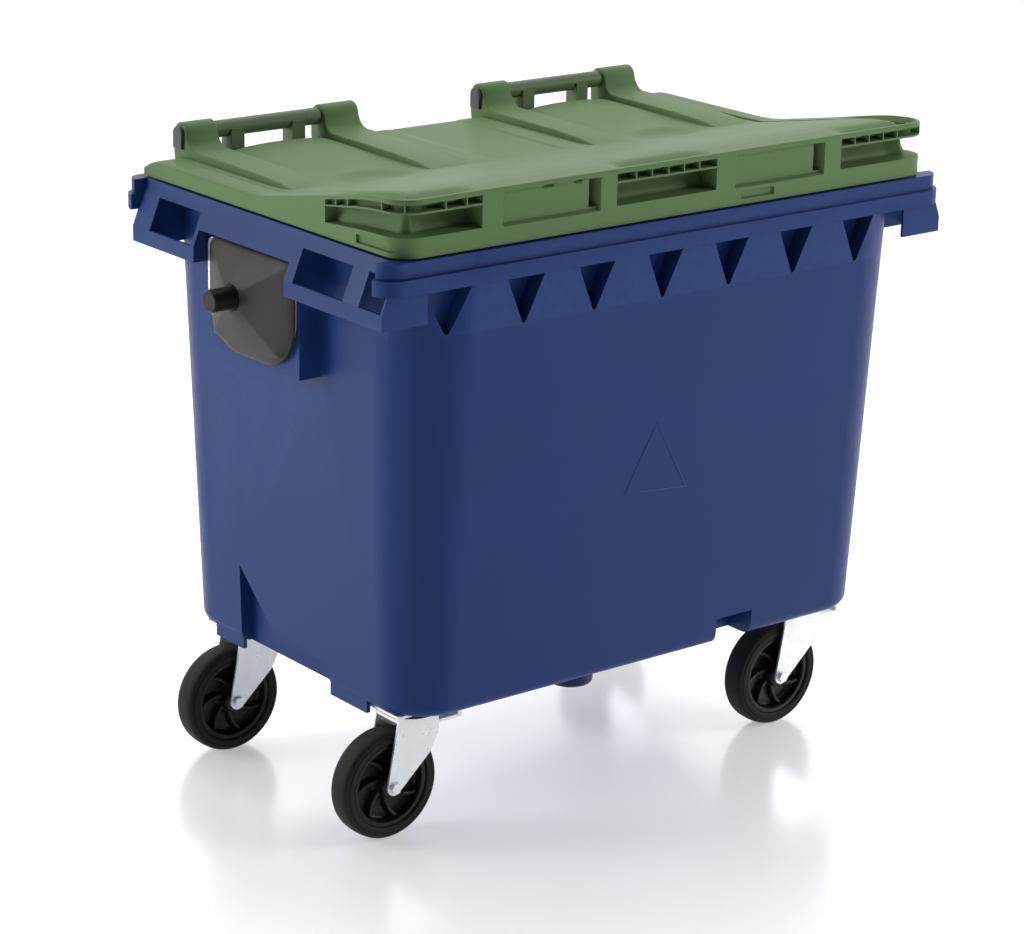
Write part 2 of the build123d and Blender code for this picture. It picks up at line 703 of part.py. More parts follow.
def hinge_arm(x0, x1):
    """One hinge arm: an eye round the pin and a long low ridge on the lid."""
    rear = HINGE_Y + ARM_EYE_RADIUS
    outline = (
        (rear, HINGE_Z),
        (rear - 4, RIM_TOP + LID_GAP + 12),
        (NOTCH_FRONT_Y - 20, LID_FLAT_Z - ROOT),
        (ARM_FRONT_Y - 60, LID_FLAT_Z - ROOT),
        (ARM_FRONT_Y, ARM_TOP_Z),
        (HINGE_Y - ARM_NECK, ARM_TOP_Z),
        (HINGE_Y - ARM_EYE_RADIUS, HINGE_Z + 2),
    )
    arm = prism_yz(outline, x0, x1)
    arm += rod_x(ARM_EYE_RADIUS, x0, x1, HINGE_Y, HINGE_Z)
    return arm


def make_lid():
    shell = prism_yz(lid_profile(0), -BIG, BIG) & lid_plan(0)
    inner = prism_yz(lid_profile(LID_WALL), -BIG, BIG) & lid_plan(LID_WALL)
    inner -= lid_pockets(LID_WALL)
    lid = shell - inner
    for side in SIDES.values():
        centre = side * HINGE_CENTRE_X
        lid += hinge_arm(centre + ARM_LEFT[0], centre + ARM_LEFT[1])
        lid += hinge_arm(centre + ARM_RIGHT[0], centre + ARM_RIGHT[1])
        cowl = (
            (NOTCH_FRONT_Y, LID_FLAT_Z - ROOT),
            (NOTCH_FRONT_Y - 4, ARM_TOP_Z - 3),
            (NOTCH_FRONT_Y - 40, ARM_TOP_Z - 1),
            (ARM_FRONT_Y, LID_FLAT_Z - ROOT),
        )
        lid += prism_yz(cowl, centre + COWL[0], centre + COWL[1])
    lid -= lid_pockets(0)
    for side in SIDES.values():
        centre = side * HINGE_CENTRE_X
        x0 = centre + ARM_LEFT[0] - 1
        x1 = centre + ARM_RIGHT[1] + 1
        lid -= rod_x(HINGE_PIN / 2, x0, x1, HINGE_Y, HINGE_Z)
    return lid


# ---------------------------------------------------------------- hinge handles and pins
def hinge_handle(centre):
    """Fixed bracket on the rear rim: a grab tube that the pin runs through, on two legs."""
    x0 = centre + ARM_LEFT[1] + SIDE_GAP
    x1 = centre + ARM_RIGHT[0] - SIDE_GAP
    handle = rod_x(HANDLE_RADIUS, x0, x1, HINGE_Y, HINGE_Z)
    foot_top = RIM_TOP + FOOT_THICK
    for low, high in HANDLE_LEGS:
        handle += block(centre + low, centre + high, LEG_FRONT, LEG_REAR, foot_top - 1, HINGE_Z)
    foot_x0 = centre + HANDLE_LEGS[0][0]
    foot_x1 = centre + HANDLE_LEGS[-1][1]
    handle += block(foot_x0, foot_x1, FOOT_FRONT, FOOT_REAR, RIM_TOP, foot_top)
    handle -= rod_x(HINGE_PIN / 2 + HINGE_FIT, x0 - 1, x1 + 1, HINGE_Y, HINGE_Z)
    for x, y in handle_screw_places():
        handle -= rod_z(HANDLE_SCREW / 2, RIM_TOP - 1, foot_top + 1, x, y)
    return handle


def hinge_pin(centre):
    """A pin through both arms and the handle, with a flat drop-shaped head outside."""
    x0 = centre + ARM_LEFT[0]
    pin = rod_x(HINGE_PIN / 2, x0, centre + ARM_RIGHT[1] + 3, HINGE_Y, HINGE_Z)
    head = rod_x(PIN_HEAD_DEPTH / 2, x0 - PIN_HEAD_THICK, x0, HINGE_Y, HINGE_Z)
    head += block(
        x0 - PIN_HEAD_THICK,
        x0,
        HINGE_Y - PIN_HEAD_DEPTH / 2,
        HINGE_Y + PIN_HEAD_DEPTH / 2,
        HINGE_Z - PIN_HEAD_DROP + 8,
        HINGE_Z,
    )
    return pin + head


def handle_screws():
    """Screws through each handle's foot and the rim, with a nut under the rim."""
    solids = []
    foot_top = RIM_TOP + FOOT_THICK
    for x, y in handle_screw_places():
        stem = rod_z(HANDLE_SCREW / 2, RIM_TOP - FLANGE, foot_top, x, y)
        head = Pos(x, y, foot_top) * extrude(Circle(HANDLE_SCREW), 5)
        nut = Pos(x, y, RIM_TOP - FLANGE - 6) * hexagon(1.6 * HANDLE_SCREW, 6)
        solids.append(stem + head + nut)
    return Compound(children=solids)


# ---------------------------------------------------------------- drain
def drain_plug():
    """Cap below the base with a stem that turns in the drain's bore."""
    low = BASE_Z - DRAIN_CAP_DROP
    top = BASE_Z - DRAIN_SEAL - RUN_GAP
    cap = rod_z(DRAIN_CAP / 2, low, top, DRAIN_X, DRAIN_Y)
    cap = fillet(cap.faces().sort_by(Axis.Z)[0].edges(), 8)
    grip = block(-30, 30, -5, 5, 0, 10)
    cap -= Pos(DRAIN_X, DRAIN_Y, low - 1) * grip
    stem = rod_z(DRAIN_BORE / 2, top - 1, BASE_Z + WALL, DRAIN_X, DRAIN_Y)
    return cap + stem


def drain_seal():
    outer = rod_z(DRAIN_CAP / 2 - 2, BASE_Z - DRAIN_SEAL, BASE_Z, DRAIN_X, DRAIN_Y)
    return outer - rod_z(DRAIN_BORE / 2 + WALL, BASE_Z - 9, BASE_Z + 1, DRAIN_X, DRAIN_Y)


# ---------------------------------------------------------------- castors, about their swivel axis
def castor_plate():
    plate = block(
        -PLATE_LENGTH / 2,
        PLATE_LENGTH / 2,
        -PLATE_WIDTH / 2,
        PLATE_WIDTH / 2,
        BASE_Z - CASTOR_PLATE,
        BASE_Z,
    )
    plate = fillet(plate.edges().filter_by(Axis.Z), 10)
    for dx in (-BOLT_SPAN_X / 2, BOLT_SPAN_X / 2):
        for dy in (-BOLT_SPAN_Y / 2, BOLT_SPAN_Y / 2):
            plate -= rod_z(CASTOR_BOLT / 2, BASE_Z - 10, BASE_Z + 1, dx, dy)
    return plate


def king_pin():
    """Upper race dish, pin and lower collar in one turned piece."""
    dish_top = BASE_Z - CASTOR_PLATE
    dish_low = dish_top - RACE_HEIGHT
    collar_low = CROWN_Z - 10
    collar_top = CROWN_Z - 6
    pin = rod_z(RACE_DIAMETER / 2, dish_low, dish_top, 0, 0)
    pin += rod_z(KING_PIN / 2, collar_low, dish_low, 0, 0)
    pin += rod_z(KING_PIN, collar_low, collar_top, 0, 0)
    return pin


def swivel_bearing():
    """Two ball-race rings, above and below the fork's crown."""
    crown_top = CROWN_Z + CROWN_THICK
    dish_low = BASE_Z - CASTOR_PLATE - RACE_HEIGHT
    bore = KING_PIN / 2 + 2
    upper = rod_z(RACE_DIAMETER / 2 - 3, crown_top, dish_low - RUN_GAP, 0, 0)
    upper -= rod_z(bore, crown_top - 1, dish_low, 0, 0)
    lower = rod_z(KING_PIN - 1, CROWN_Z - 6 + RUN_GAP, CROWN_Z, 0, 0)
    lower -= rod_z(bore, CROWN_Z - 7, CROWN_Z + 1, 0, 0)
    return Compound(children=[upper.solids()[0], lower.solids()[0]])


def castor_fork(braked):
    """Pressed fork: flat crown and two legs that lean back to the axle."""
    top = CROWN_Z + CROWN_THICK
    axle_z = WHEEL_DIAMETER / 2
    inner = FORK_GAP / 2
    outer = inner + FORK_PLATE
    outline = (
        (-50, top),
        (36, top),
        (37, top - 37),
        (18, top - 73),
        (-TRAIL + 9, axle_z - 12),
        (-TRAIL - 15, axle_z),
    )
    fork = block(-50, 36, -outer, outer, CROWN_Z, top)
    for y0, y1 in ((-outer, -inner), (inner, outer)):
        fork += prism_xz(outline, y0, y1)
        fork += rod_y(15, y0, y1, -TRAIL, axle_z)
    fork -= rod_z(KING_PIN / 2 + KING_FIT, CROWN_Z - 1, top + 1, 0, 0)
    fork -= rod_y(AXLE / 2, -outer - 1, outer + 1, -TRAIL, axle_z)
    if braked:
        fork -= rod_y(PEDAL_PIN / 2, -outer - 1, outer + 1, PEDAL_PIVOT_X, PEDAL_PIVOT_Z)
    return fork


def dust_guard():
    crown_top = CROWN_Z + CROWN_THICK
    top = BASE_Z - CASTOR_PLATE - 1
    ring = rod_z(GUARD_DIAMETER / 2, crown_top, top, 0, 0)
    return ring - rod_z(RACE_DIAMETER / 2 + 2, crown_top - 1, top + 1, 0, 0)


def wheel_rim():
    """Hub and outer ring joined by bent spokes."""
    axle_z = WHEEL_DIAMETER / 2
    half = TYRE_WIDTH / 2 - 3
    ring = rod_y(RIM_DIAMETER / 2, -half, half, 0, 0)
    ring -= rod_y(RIM_DIAMETER / 2 - 10, -half - 1, half + 1, 0, 0)
    rim = ring + rod_y(HUB_DIAMETER / 2, -HUB_LENGTH / 2, HUB_LENGTH / 2, 0, 0)
    rim -= rod_y(BUSH_DIAMETER / 2, -HUB_LENGTH, HUB_LENGTH, 0, 0)
    length = (RIM_DIAMETER - HUB_DIAMETER) / 2 - 4
    middle = (RIM_DIAMETER + HUB_DIAMETER) / 4
    for index in range(SPOKE_COUNT):
        spoke = Pos(middle - 3, 0, 0) * Box(length, 2 * half - 8, 9)
        rim += Rot(0, 360 * index / SPOKE_COUNT, 0) * spoke
    return Pos(-TRAIL, 0, axle_z) * rim


def wheel_tyre():
    axle_z = WHEEL_DIAMETER / 2
    half = TYRE_WIDTH / 2
    tyre = rod_y(WHEEL_DIAMETER / 2, -half, half, 0, 0)
    tyre = fillet(tyre.edges().filter_by(GeomType.CIRCLE), 9)
    tyre -= rod_y(RIM_DIAMETER / 2, -half - 1, half + 1, 0, 0)
    return Pos(-TRAIL, 0, axle_z) * tyre


def hub_bush():
    axle_z = WHEEL_DIAMETER / 2
    bush = rod_y(BUSH_DIAMETER / 2, -HUB_LENGTH / 2, HUB_LENGTH / 2, -TRAIL, axle_z)
    return bush - rod_y(AXLE / 2 + AXLE_FIT, -HUB_LENGTH, HUB_LENGTH, -TRAIL, axle_z)


def axle_bolt():
    """Bolt through the fork and hub, with its nut."""
    axle_z = WHEEL_DIAMETER / 2
    outer = FORK_GAP / 2 + FORK_PLATE
    bolt = rod_y(AXLE / 2, -outer, outer + 12, -TRAIL, axle_z)
    head = Pos(-TRAIL, -outer, axle_z) * Rot(90, 0, 0) * hexagon(1.55 * AXLE, 7)
    nut = Pos(-TRAIL, outer + 10, axle_z) * Rot(90, 0, 0) * hexagon(1.55 * AXLE, 10)
    nut -= rod_y(AXLE / 2, 0, outer + 30, -TRAIL, axle_z)
    bolt += head
    return Compound(children=[bolt.solids()[0], nut.solids()[0]])


def brake_pin():
    outer = FORK_GAP / 2 + FORK_PLATE
    return rod_y(PEDAL_PIN / 2, -outer, outer, PEDAL_PIVOT_X, PEDAL_PIVOT_Z)


def brake_pedal():
    """Foot lever with a short nose that presses on the tyre."""
    half = FORK_GAP / 2 - 1.5
    pad = PEDAL_WIDTH / 2
    x = PEDAL_PIVOT_X
    z = PEDAL_PIVOT_Z
    pedal = rod_y(8, -half, half, x, z)
    pedal += block(x, x + PEDAL_REACH, -pad, pad, z - 5, z + 1)
    lip = x + PEDAL_REACH
    pedal += block(lip - 8, lip, -pad, pad, z - 5, z + 7)
    nose = Pos(x, 0, z) * Rot(0, 129, 0) * Pos(11, 0, 0) * Box(22, 2 * half - 16, 8)
    pedal += nose
    return pedal - rod_y(PEDAL_PIN / 2 + AXLE_FIT, -half - 1, half + 1, x, z)


def castor_bolts():
    """All castor bolts with their nuts above the tub's floor."""
    solids = []
    low = BASE_Z - CASTOR_PLATE
    top = BASE_Z + WALL
    for x, y in castor_bolt_places():
        stem = rod_z(CASTOR_BOLT / 2, low, top, x, y)
        head = Pos(x, y, low - 6) * hexagon(1.6 * CASTOR_BOLT, 6)
        nut = Pos(x, y, top) * hexagon(1.6 * CASTOR_BOLT, 8)
        solids.append(stem + head + nut)
    return Compound(children=solids)


# ---------------------------------------------------------------- assembly
def all_nodes():
    nodes = divide_tub(tub_moulding())
    for name, side in SIDES.items():
        for piece, shape in trunnion_pieces(side).items():
            nodes[f"{piece}_{name}"] = shape
        nodes[f"hinge_handle_{name}"] = hinge_handle(side * HINGE_CENTRE_X)
        nodes[f"hinge_pin_{name}"] = hinge_pin(side * HINGE_CENTRE_X)
    nodes["trunnion_bolts"] = trunnion_bolts()
    nodes["handle_screws"] = handle_screws()
    nodes["lid"] = make_lid()
    nodes["drain_plug"] = drain_plug()
    nodes["drain_seal"] = drain_seal()
    nodes["castor_bolts"] = castor_bolts()
    for corner, (sx, sy) in CORNERS.items():
        place = Pos(sx * CASTOR_X, sy * CASTOR_Y, 0)
        braked = sy < 0
        pieces = {
            "castor_plate": castor_plate(),
            "king_pin": king_pin(),
            "swivel_bearing": swivel_bearing(),
            "castor_fork": castor_fork(braked),
            "dust_guard": dust_guard(),
            "wheel_rim": wheel_rim(),
            "tyre": wheel_tyre(),
            "hub_bush": hub_bush(),
            "axle_bolt": axle_bolt(),
        }
        if braked:
            pieces["brake_pin"] = brake_pin()
            pieces["brake_pedal"] = brake_pedal()
        for piece, shape in pieces.items():
            nodes[f"{piece}_{corner}"] = place * shape
    return nodes


os.makedirs("parts", exist_ok=True)
for node_name, node_shape in all_nodes().items():
    export_step(keep(node_shape), f"parts/{node_name}.step")
    print(node_name, len(node_shape.solids()), "solids", round(node_shape.volume / 1000), "cm3")
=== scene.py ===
# %% [markdown]
# # A four-wheeled litter bin
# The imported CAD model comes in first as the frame. Every piece below takes its place from it.

import json
from math import cos, pi, radians, sin

import bmesh
import bpy
import numpy as np
from mathutils import Matrix, Vector


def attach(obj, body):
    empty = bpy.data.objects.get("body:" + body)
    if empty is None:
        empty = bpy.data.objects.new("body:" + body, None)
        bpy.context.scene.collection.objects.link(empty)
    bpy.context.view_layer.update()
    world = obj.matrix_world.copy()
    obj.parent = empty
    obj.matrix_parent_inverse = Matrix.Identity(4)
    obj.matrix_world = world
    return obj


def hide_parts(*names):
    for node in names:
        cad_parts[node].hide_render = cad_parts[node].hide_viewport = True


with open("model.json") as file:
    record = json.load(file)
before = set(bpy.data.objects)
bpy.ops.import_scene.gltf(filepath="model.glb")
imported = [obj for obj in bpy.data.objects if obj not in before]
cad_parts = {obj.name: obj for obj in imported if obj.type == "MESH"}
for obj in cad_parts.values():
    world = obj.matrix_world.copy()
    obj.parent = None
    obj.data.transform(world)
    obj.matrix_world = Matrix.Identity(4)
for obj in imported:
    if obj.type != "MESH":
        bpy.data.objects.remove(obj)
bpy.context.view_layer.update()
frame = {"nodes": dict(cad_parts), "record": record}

MM = 0.001
CORNERS = ("front_left", "front_right", "rear_left", "rear_right")
SIDES = {"left": -1, "right": 1}

# %% [markdown]
# ## Camera
# The bin is seen from its front left corner, a little above the rim, with a long lens. The camera
# turns round a target near the tub's middle: azimuth, elevation and roll set its three axes.

# %% Camera
AZIMUTH, ELEVATION, ROLL = radians(-38.57), radians(17.74), radians(1.22)
TARGET = Vector((-27.59, 50.72, 507.03)) * MM
DISTANCE = 5.995
LENS = 113.37
SHIFT = (0.0092, 0.0007)


def camera_axes():
    """Right, up and back axes of the camera, rolled about its line of sight."""
    level = cos(ELEVATION)
    back = Vector((sin(AZIMUTH) * level, -cos(AZIMUTH) * level, sin(ELEVATION)))
    right = (-back).cross(Vector((0, 0, 1))).normalized()
    up = right.cross(-back)
    return cos(ROLL) * right + sin(ROLL) * up, cos(ROLL) * up - sin(ROLL) * right, back


right, up, back = camera_axes()
camera_data = bpy.data.cameras.new("camera")
camera_data.sensor_width = 36
camera_data.lens = LENS
camera_data.shift_x, camera_data.shift_y = SHIFT
camera_data.clip_end = 100
camera = bpy.data.objects.new("camera", camera_data)
turn = Matrix((right, up, back)).transposed().to_4x4()
camera.matrix_world = Matrix.Translation(TARGET + back * DISTANCE) @ turn
bpy.context.scene.collection.objects.link(camera)
bpy.context.scene.camera = camera
print("camera stands at", [round(c, 3) for c in camera.location])

# %% [markdown]
# ## Node helpers
# The floor, the world and every finish are small node trees, so the few steps that they share are
# written once: feeding a socket, carrying a value from one range to another, and noise.

# %% Node helpers
def feed(tree, side, socket):
    """Gives a socket a number or a tuple, or links it to another socket."""
    if isinstance(side, (int, float, tuple)):
        socket.default_value = side
    else:
        tree.links.new(side, socket)


def object_place(tree):
    """The Object coordinates of the surface point."""
    return tree.nodes.new("ShaderNodeTexCoord").outputs["Object"]


def noise_node(tree, scale, detail, vector):
    """A noise value on the given coordinates."""
    noise = tree.nodes.new("ShaderNodeTexNoise")
    feed(tree, detail, noise.inputs["Detail"])
    feed(tree, scale, noise.inputs["Scale"])
    feed(tree, vector, noise.inputs["Vector"])
    return noise.outputs["Fac"]


def math_node(tree, operation, *sides):
    """A math node; each side is a socket or a number."""
    node = tree.nodes.new("ShaderNodeMath")
    node.operation = operation
    for side, socket in zip(sides, node.inputs):
        feed(tree, side, socket)
    return node.outputs[0]


def range_node(tree, value, low, high, new_low, new_high, interpolation="LINEAR"):
    """Carries value from one range to another, clamped."""
    node = tree.nodes.new("ShaderNodeMapRange")
    node.interpolation_type = interpolation
    feed(tree, value, node.inputs["Value"])
    labels = ("From Min", "From Max", "To Min", "To Max")
    for label, number in zip(labels, (low, high, new_low, new_high)):
        feed(tree, number, node.inputs[label])
    return node.outputs["Result"]


def new_material(name):
    """A material with its node tree and its shader."""
    material = bpy.data.materials.new(name)
    material.use_nodes = True
    return material, material.node_tree, material.node_tree.nodes["Principled BSDF"]


# %% [markdown]
# ## Floor and light
# A white studio sweep: a pale floor with a soft sheen, a large light box on the left, one in front
# and on the right, and one overhead. The gap between the two side boxes leaves the tub's near
# corner dark, which is what makes a rounded corner read as round.

# %% Floor and light
FLOOR_HALF = 14.0
SHEEN_NEAR, SHEEN_FAR = 0.7, 1.45    # metres from the origin between which the sheen fades
SHEEN_FLOOR = 0.15                   # share of the sheen that is left further out


def studio_floor():
    """A flat white square under the object, whose sheen mirrors only what stands near by."""
    mesh = bpy.data.meshes.new("floor")
    corners = [(x * FLOOR_HALF, y * FLOOR_HALF, 0) for x, y in ((-1, -1), (1, -1), (1, 1), (-1, 1))]
    mesh.from_pydata(corners, [], [(0, 1, 2, 3)])
    floor = bpy.data.objects.new("floor", mesh)
    bpy.context.scene.collection.objects.link(floor)
    material, tree, shader = new_material("floor_white")
    reach = tree.nodes.new("ShaderNodeVectorMath")
    reach.operation = "LENGTH"
    feed(tree, object_place(tree), reach.inputs[0])
    fade = range_node(
        tree, reach.outputs["Value"], SHEEN_NEAR, SHEEN_FAR, 1.0, SHEEN_FLOOR, "SMOOTHSTEP"
    )
    looks = {
        "Base Color": (0.80, 0.80, 0.80, 1),
        "Roughness": 0.6,
        "Coat Weight": fade,
        "Coat Roughness": 0.19,
        "Coat IOR": 2.3,
        "Emission Color": (1, 1, 1, 1),
        "Emission Strength": 0.5,
    }
    for label, side in looks.items():
        feed(tree, side, shader.inputs[label])
    mesh.materials.append(material)


def light_box(name, place, aim, size, power):
    """A rectangular area light at place that faces aim."""
    data = bpy.data.lights.new(name, "AREA")
    data.shape = "RECTANGLE"
    data.size, data.size_y = size
    data.energy = power
    light = bpy.data.objects.new(name, data)
    light.location = place
    light.rotation_euler = (Vector(aim) - Vector(place)).to_track_quat("-Z", "Y").to_euler()
    bpy.context.scene.collection.objects.link(light)


def studio_world(dim, bright):
    """A dim room whose far wall is bright, so that the floor's sheen has white to mirror."""
    world = bpy.data.worlds.new("studio")
    world.use_nodes = True
    tree = world.node_tree
    towards = tree.nodes.new("ShaderNodeVectorMath")
    towards.operation = "DOT_PRODUCT"
    direction = tree.nodes.new("ShaderNodeTexCoord").outputs["Generated"]
    feed(tree, direction, towards.inputs[0])
    towards.inputs[1].default_value = Vector((-back.x, -back.y, 0.25)).normalized()
    spread = range_node(tree, towards.outputs["Value"], 0.1, 0.8, dim, bright, "SMOOTHSTEP")
    background = tree.nodes["Background"]
    feed(tree, (1, 1, 1, 1), background.inputs["Color"])
    feed(tree, spread, background.inputs["Strength"])
    bpy.context.scene.world = world


studio_floor()
light_box("key_left", (-4.7, 3.1, 2.3), (0, 0, 0.6), (2.2, 3.0), 165)
light_box("key_front", (4.8, -3.7, 2.9), (0, 0, 0.6), (3.0, 2.8), 185)
light_box("top", (0.4, 1.0, 4.0), (0, 0, 0.8), (3.2, 3.2), 48)
studio_world(dim=0.10, bright=1.3)
bpy.context.scene.view_settings.view_transform = "Standard"
print("lights:", ", ".join(light.name for light in bpy.data.lights))

# %% [markdown]
# ## Materials
# The bin is made of a few finishes. Moulded polyethylene has a slightly mottled colour, a fine
# spark-eroded grain and soft gloss. Its edges polish paler in use. Zinc plate is bright with a
# faint crystalline patchiness. Rubber is nearly black and dull. Grain, mottle, edge wear and dust
# are shared, so each is a node group that is built once.

# %% Shared effects
def new_group(name, inputs, outputs):
    """An empty shader group with float inputs and typed outputs."""
    group = bpy.data.node_groups.new(name, "ShaderNodeTree")
    for label, value in inputs.items():
        socket = group.interface.new_socket(label, in_out="INPUT", socket_type="NodeSocketFloat")
        socket.default_value = value
    for label, kind in outputs.items():
        group.interface.new_socket(label, in_out="OUTPUT", socket_type=kind)
    return group, group.nodes.new("NodeGroupInput"), group.nodes.new("NodeGroupOutput")


def mottle_group():
    """Large soft patches and fine flecks, about 1 in the middle, to multiply a colour with."""
    group, ins, outs = new_group(
        "mottle", {"Scale": 6.0, "Amount": 0.1}, {"Factor": "NodeSocketFloat"}
    )
    fleck_share = 0.35
    middle = (1 + fleck_share) / 2
    place = object_place(group)
    patches = noise_node(group, ins.outputs["Scale"], 4, place)
    flecks = noise_node(group, 900, 2, place)
    both = math_node(group, "MULTIPLY_ADD", flecks, fleck_share, patches)
    centred = math_node(group, "SUBTRACT", both, middle)
    scaled = math_node(group, "MULTIPLY", centred, ins.outputs["Amount"])
    feed(group, math_node(group, "ADD", scaled, 1.0), outs.inputs["Factor"])
    return group


def grain_group():
    """Height of a fine spark-eroded grain with a slow waviness under it."""
    group, ins, outs = new_group(
        "moulded_grain", {"Scale": 1500.0, "Wave": 0.5}, {"Height": "NodeSocketFloat"}
    )
    place = object_place(group)
    fine = noise_node(group, ins.outputs["Scale"], 3, place)
    slow = noise_node(group, 9.0, 1, place)
    waves = math_node(group, "MULTIPLY", slow, ins.outputs["Wave"])
    feed(group, math_node(group, "ADD", fine, waves), outs.inputs["Height"])
    return group


def wear_group():
    """A mask that is 1 on convex edges, broken up by noise."""
    group, ins, outs = new_group(
        "edge_wear", {"Width": 0.5, "Amount": 1.0}, {"Mask": "NodeSocketFloat"}
    )
    point = group.nodes.new("ShaderNodeNewGeometry").outputs["Pointiness"]
    widening = math_node(group, "MULTIPLY", ins.outputs["Width"], 0.04)
    low = math_node(group, "SUBTRACT", 0.56, widening)
    mask = range_node(group, point, low, 0.62, 0.0, 1.0)
    patchy = range_node(group, noise_node(group, 60, 3, object_place(group)), 0.3, 0.7, 0.4, 1.0)
    both = math_node(group, "MULTIPLY", mask, patchy)
    feed(group, math_node(group, "MULTIPLY", both, ins.outputs["Amount"]), outs.inputs["Mask"])
    return group


def dust_group():
    """A mask of thin dust that lies where the surface faces up."""
    group, ins, outs = new_group("dust", {"Amount": 0.2}, {"Mask": "NodeSocketFloat"})
    split = group.nodes.new("ShaderNodeSeparateXYZ")
    feed(group, group.nodes.new("ShaderNodeNewGeometry").outputs["Normal"], split.inputs[0])
    facing = range_node(group, split.outputs["Z"], 0.5, 1.0, 0.0, 1.0)
    patchy = range_node(group, noise_node(group, 14, 6, object_place(group)), 0.35, 0.75, 0.3, 1.0)
    both = math_node(group, "MULTIPLY", facing, patchy)
    feed(group, math_node(group, "MULTIPLY", both, ins.outputs["Amount"]), outs.inputs["Mask"])
    return group


GROUPS = {
    "mottle": mottle_group(),
    "grain": grain_group(),
    "wear": wear_group(),
    "dust": dust_group(),
}
print("shared shader groups:", ", ".join(GROUPS))


# %% Finishes
def place_group(tree, name, **values):
    """Puts a shared group into a material with this material's own values."""
    node = tree.nodes.new("ShaderNodeGroup")
    node.node_tree = GROUPS[name]
    for label, value in values.items():
        node.inputs[label].default_value = value
    return node


def mix_colour(tree, factor, first, second, blend="MIX"):
    """Mixes two colours; each side is a socket or an RGB triple."""
    node = tree.nodes.new("ShaderNodeMix")
    node.data_type = "RGBA"
    node.blend_type = blend
    feed(tree, factor, node.inputs["Factor"])
    colours = {socket.name: socket for socket in node.inputs if socket.type == "RGBA"}
    for label, side in (("A", first), ("B", second)):
        feed(tree, (*side, 1) if isinstance(side, tuple) else side, colours[label])
    return next(socket for socket in node.outputs if socket.type == "RGBA")


def grey(tree, value):
    """A number as a grey colour."""
    node = tree.nodes.new("ShaderNodeCombineColor")
    for label in ("Red", "Green", "Blue"):
        feed(tree, value, node.inputs[label])
    return node.outputs[0]


def bump(tree, shader, height, strength, distance):
    """Raises the shader's normals by a height."""
    node = tree.nodes.new("ShaderNodeBump")
    feed(tree, strength, node.inputs["Strength"])
    feed(tree, distance, node.inputs["Distance"])
    feed(tree, height, node.inputs["Height"])
    feed(tree, node.outputs["Normal"], shader.inputs["Normal"])


DUST_COLOUR = (0.5, 0.48, 0.42)
GRAIN_HEIGHT, ZINC_HEIGHT = 0.0006, 0.0004


def moulded(
    name, colour, roughness=0.42, mottle=0.12, wear=0.25, dust=0.0, grain=0.12, worn=None, sheen=0.2
):
    """Moulded plastic: mottled colour, paler polished edges, fine grain, optional dust."""
    material, tree, shader = new_material(name)
    patches = place_group(tree, "mottle", Amount=mottle).outputs["Factor"]
    body = mix_colour(tree, 1.0, colour, grey(tree, patches), "MULTIPLY")
    edge = worn or tuple(min(1.0, 1.7 * c + 0.02) for c in colour)
    body = mix_colour(tree, place_group(tree, "wear", Amount=wear).outputs["Mask"], body, edge)
    if dust:
        lying = place_group(tree, "dust", Amount=dust).outputs["Mask"]
        body = mix_colour(tree, lying, body, DUST_COLOUR)
    feed(tree, body, shader.inputs["Base Color"])
    slow = range_node(tree, patches, 0.94, 1.06, roughness - 0.05, roughness + 0.06)
    feed(tree, slow, shader.inputs["Roughness"])
    feed(tree, sheen, shader.inputs["Specular IOR Level"])
    bump(tree, shader, place_group(tree, "grain").outputs["Height"], grain, GRAIN_HEIGHT)
    return material


def zinc_plate():
    """Bright zinc plate: metal with patchy roughness and a faint blue cast."""
    material, tree, shader = new_material("zinc_plate")
    place = object_place(tree)
    cloud = noise_node(tree, 40, 5, place)
    tint = mix_colour(tree, cloud, (0.86, 0.88, 0.89), (0.74, 0.77, 0.79))
    feed(tree, tint, shader.inputs["Base Color"])
    feed(tree, range_node(tree, cloud, 0.3, 0.7, 0.24, 0.42), shader.inputs["Roughness"])
    feed(tree, 0.5, shader.inputs["Metallic"])
    bump(tree, shader, noise_node(tree, 500, 3, place), 0.08, ZINC_HEIGHT)
    return material


FINISHES = {
    "tub_blue": moulded(
        "tub_blue", (0.0095, 0.034, 0.155), roughness=0.38, worn=(0.04, 0.09, 0.27), sheen=0.16
    ),
    "plug_blue": moulded("plug_blue", (0.008, 0.022, 0.10), roughness=0.4),
    "lid_green": moulded("lid_green", (0.118, 0.200, 0.082), roughness=0.48, dust=0.02, sheen=0.12),
    "handle_green": moulded("handle_green", (0.115, 0.165, 0.085), roughness=0.45),
    "cover_grey": moulded("cover_grey", (0.030, 0.029, 0.026), roughness=0.45),
    "black_plastic": moulded("black_plastic", (0.010, 0.010, 0.010), roughness=0.42, wear=0.1),
    "pin_grey": moulded("pin_grey", (0.09, 0.09, 0.092), roughness=0.45),
    "wheel_black": moulded("wheel_black", (0.008, 0.008, 0.008), roughness=0.34, wear=0.1),
    "tyre_rubber": moulded("tyre_rubber", (0.012, 0.012, 0.0115), roughness=0.62, dust=0.1, grain=0.3),
    "seal_rubber": moulded("seal_rubber", (0.01, 0.01, 0.01), roughness=0.7),
    "zinc_steel": zinc_plate(),
}
SLOT_OF = {row["node"]: row["material_slot"] for row in frame["record"]["subparts"]}
BODY_OF = {
    node: body
    for body, members in frame["record"]["behaviour"]["bodies"].items()
    for node in members
}


def dress(piece, name):
    """Gives a piece one finish in place of what it had."""
    piece.data.materials.clear()
    piece.data.materials.append(FINISHES[name])


for node, thing in frame["nodes"].items():
    dress(thing, SLOT_OF[node])
print("finishes on", len(frame["nodes"]), "CAD nodes")

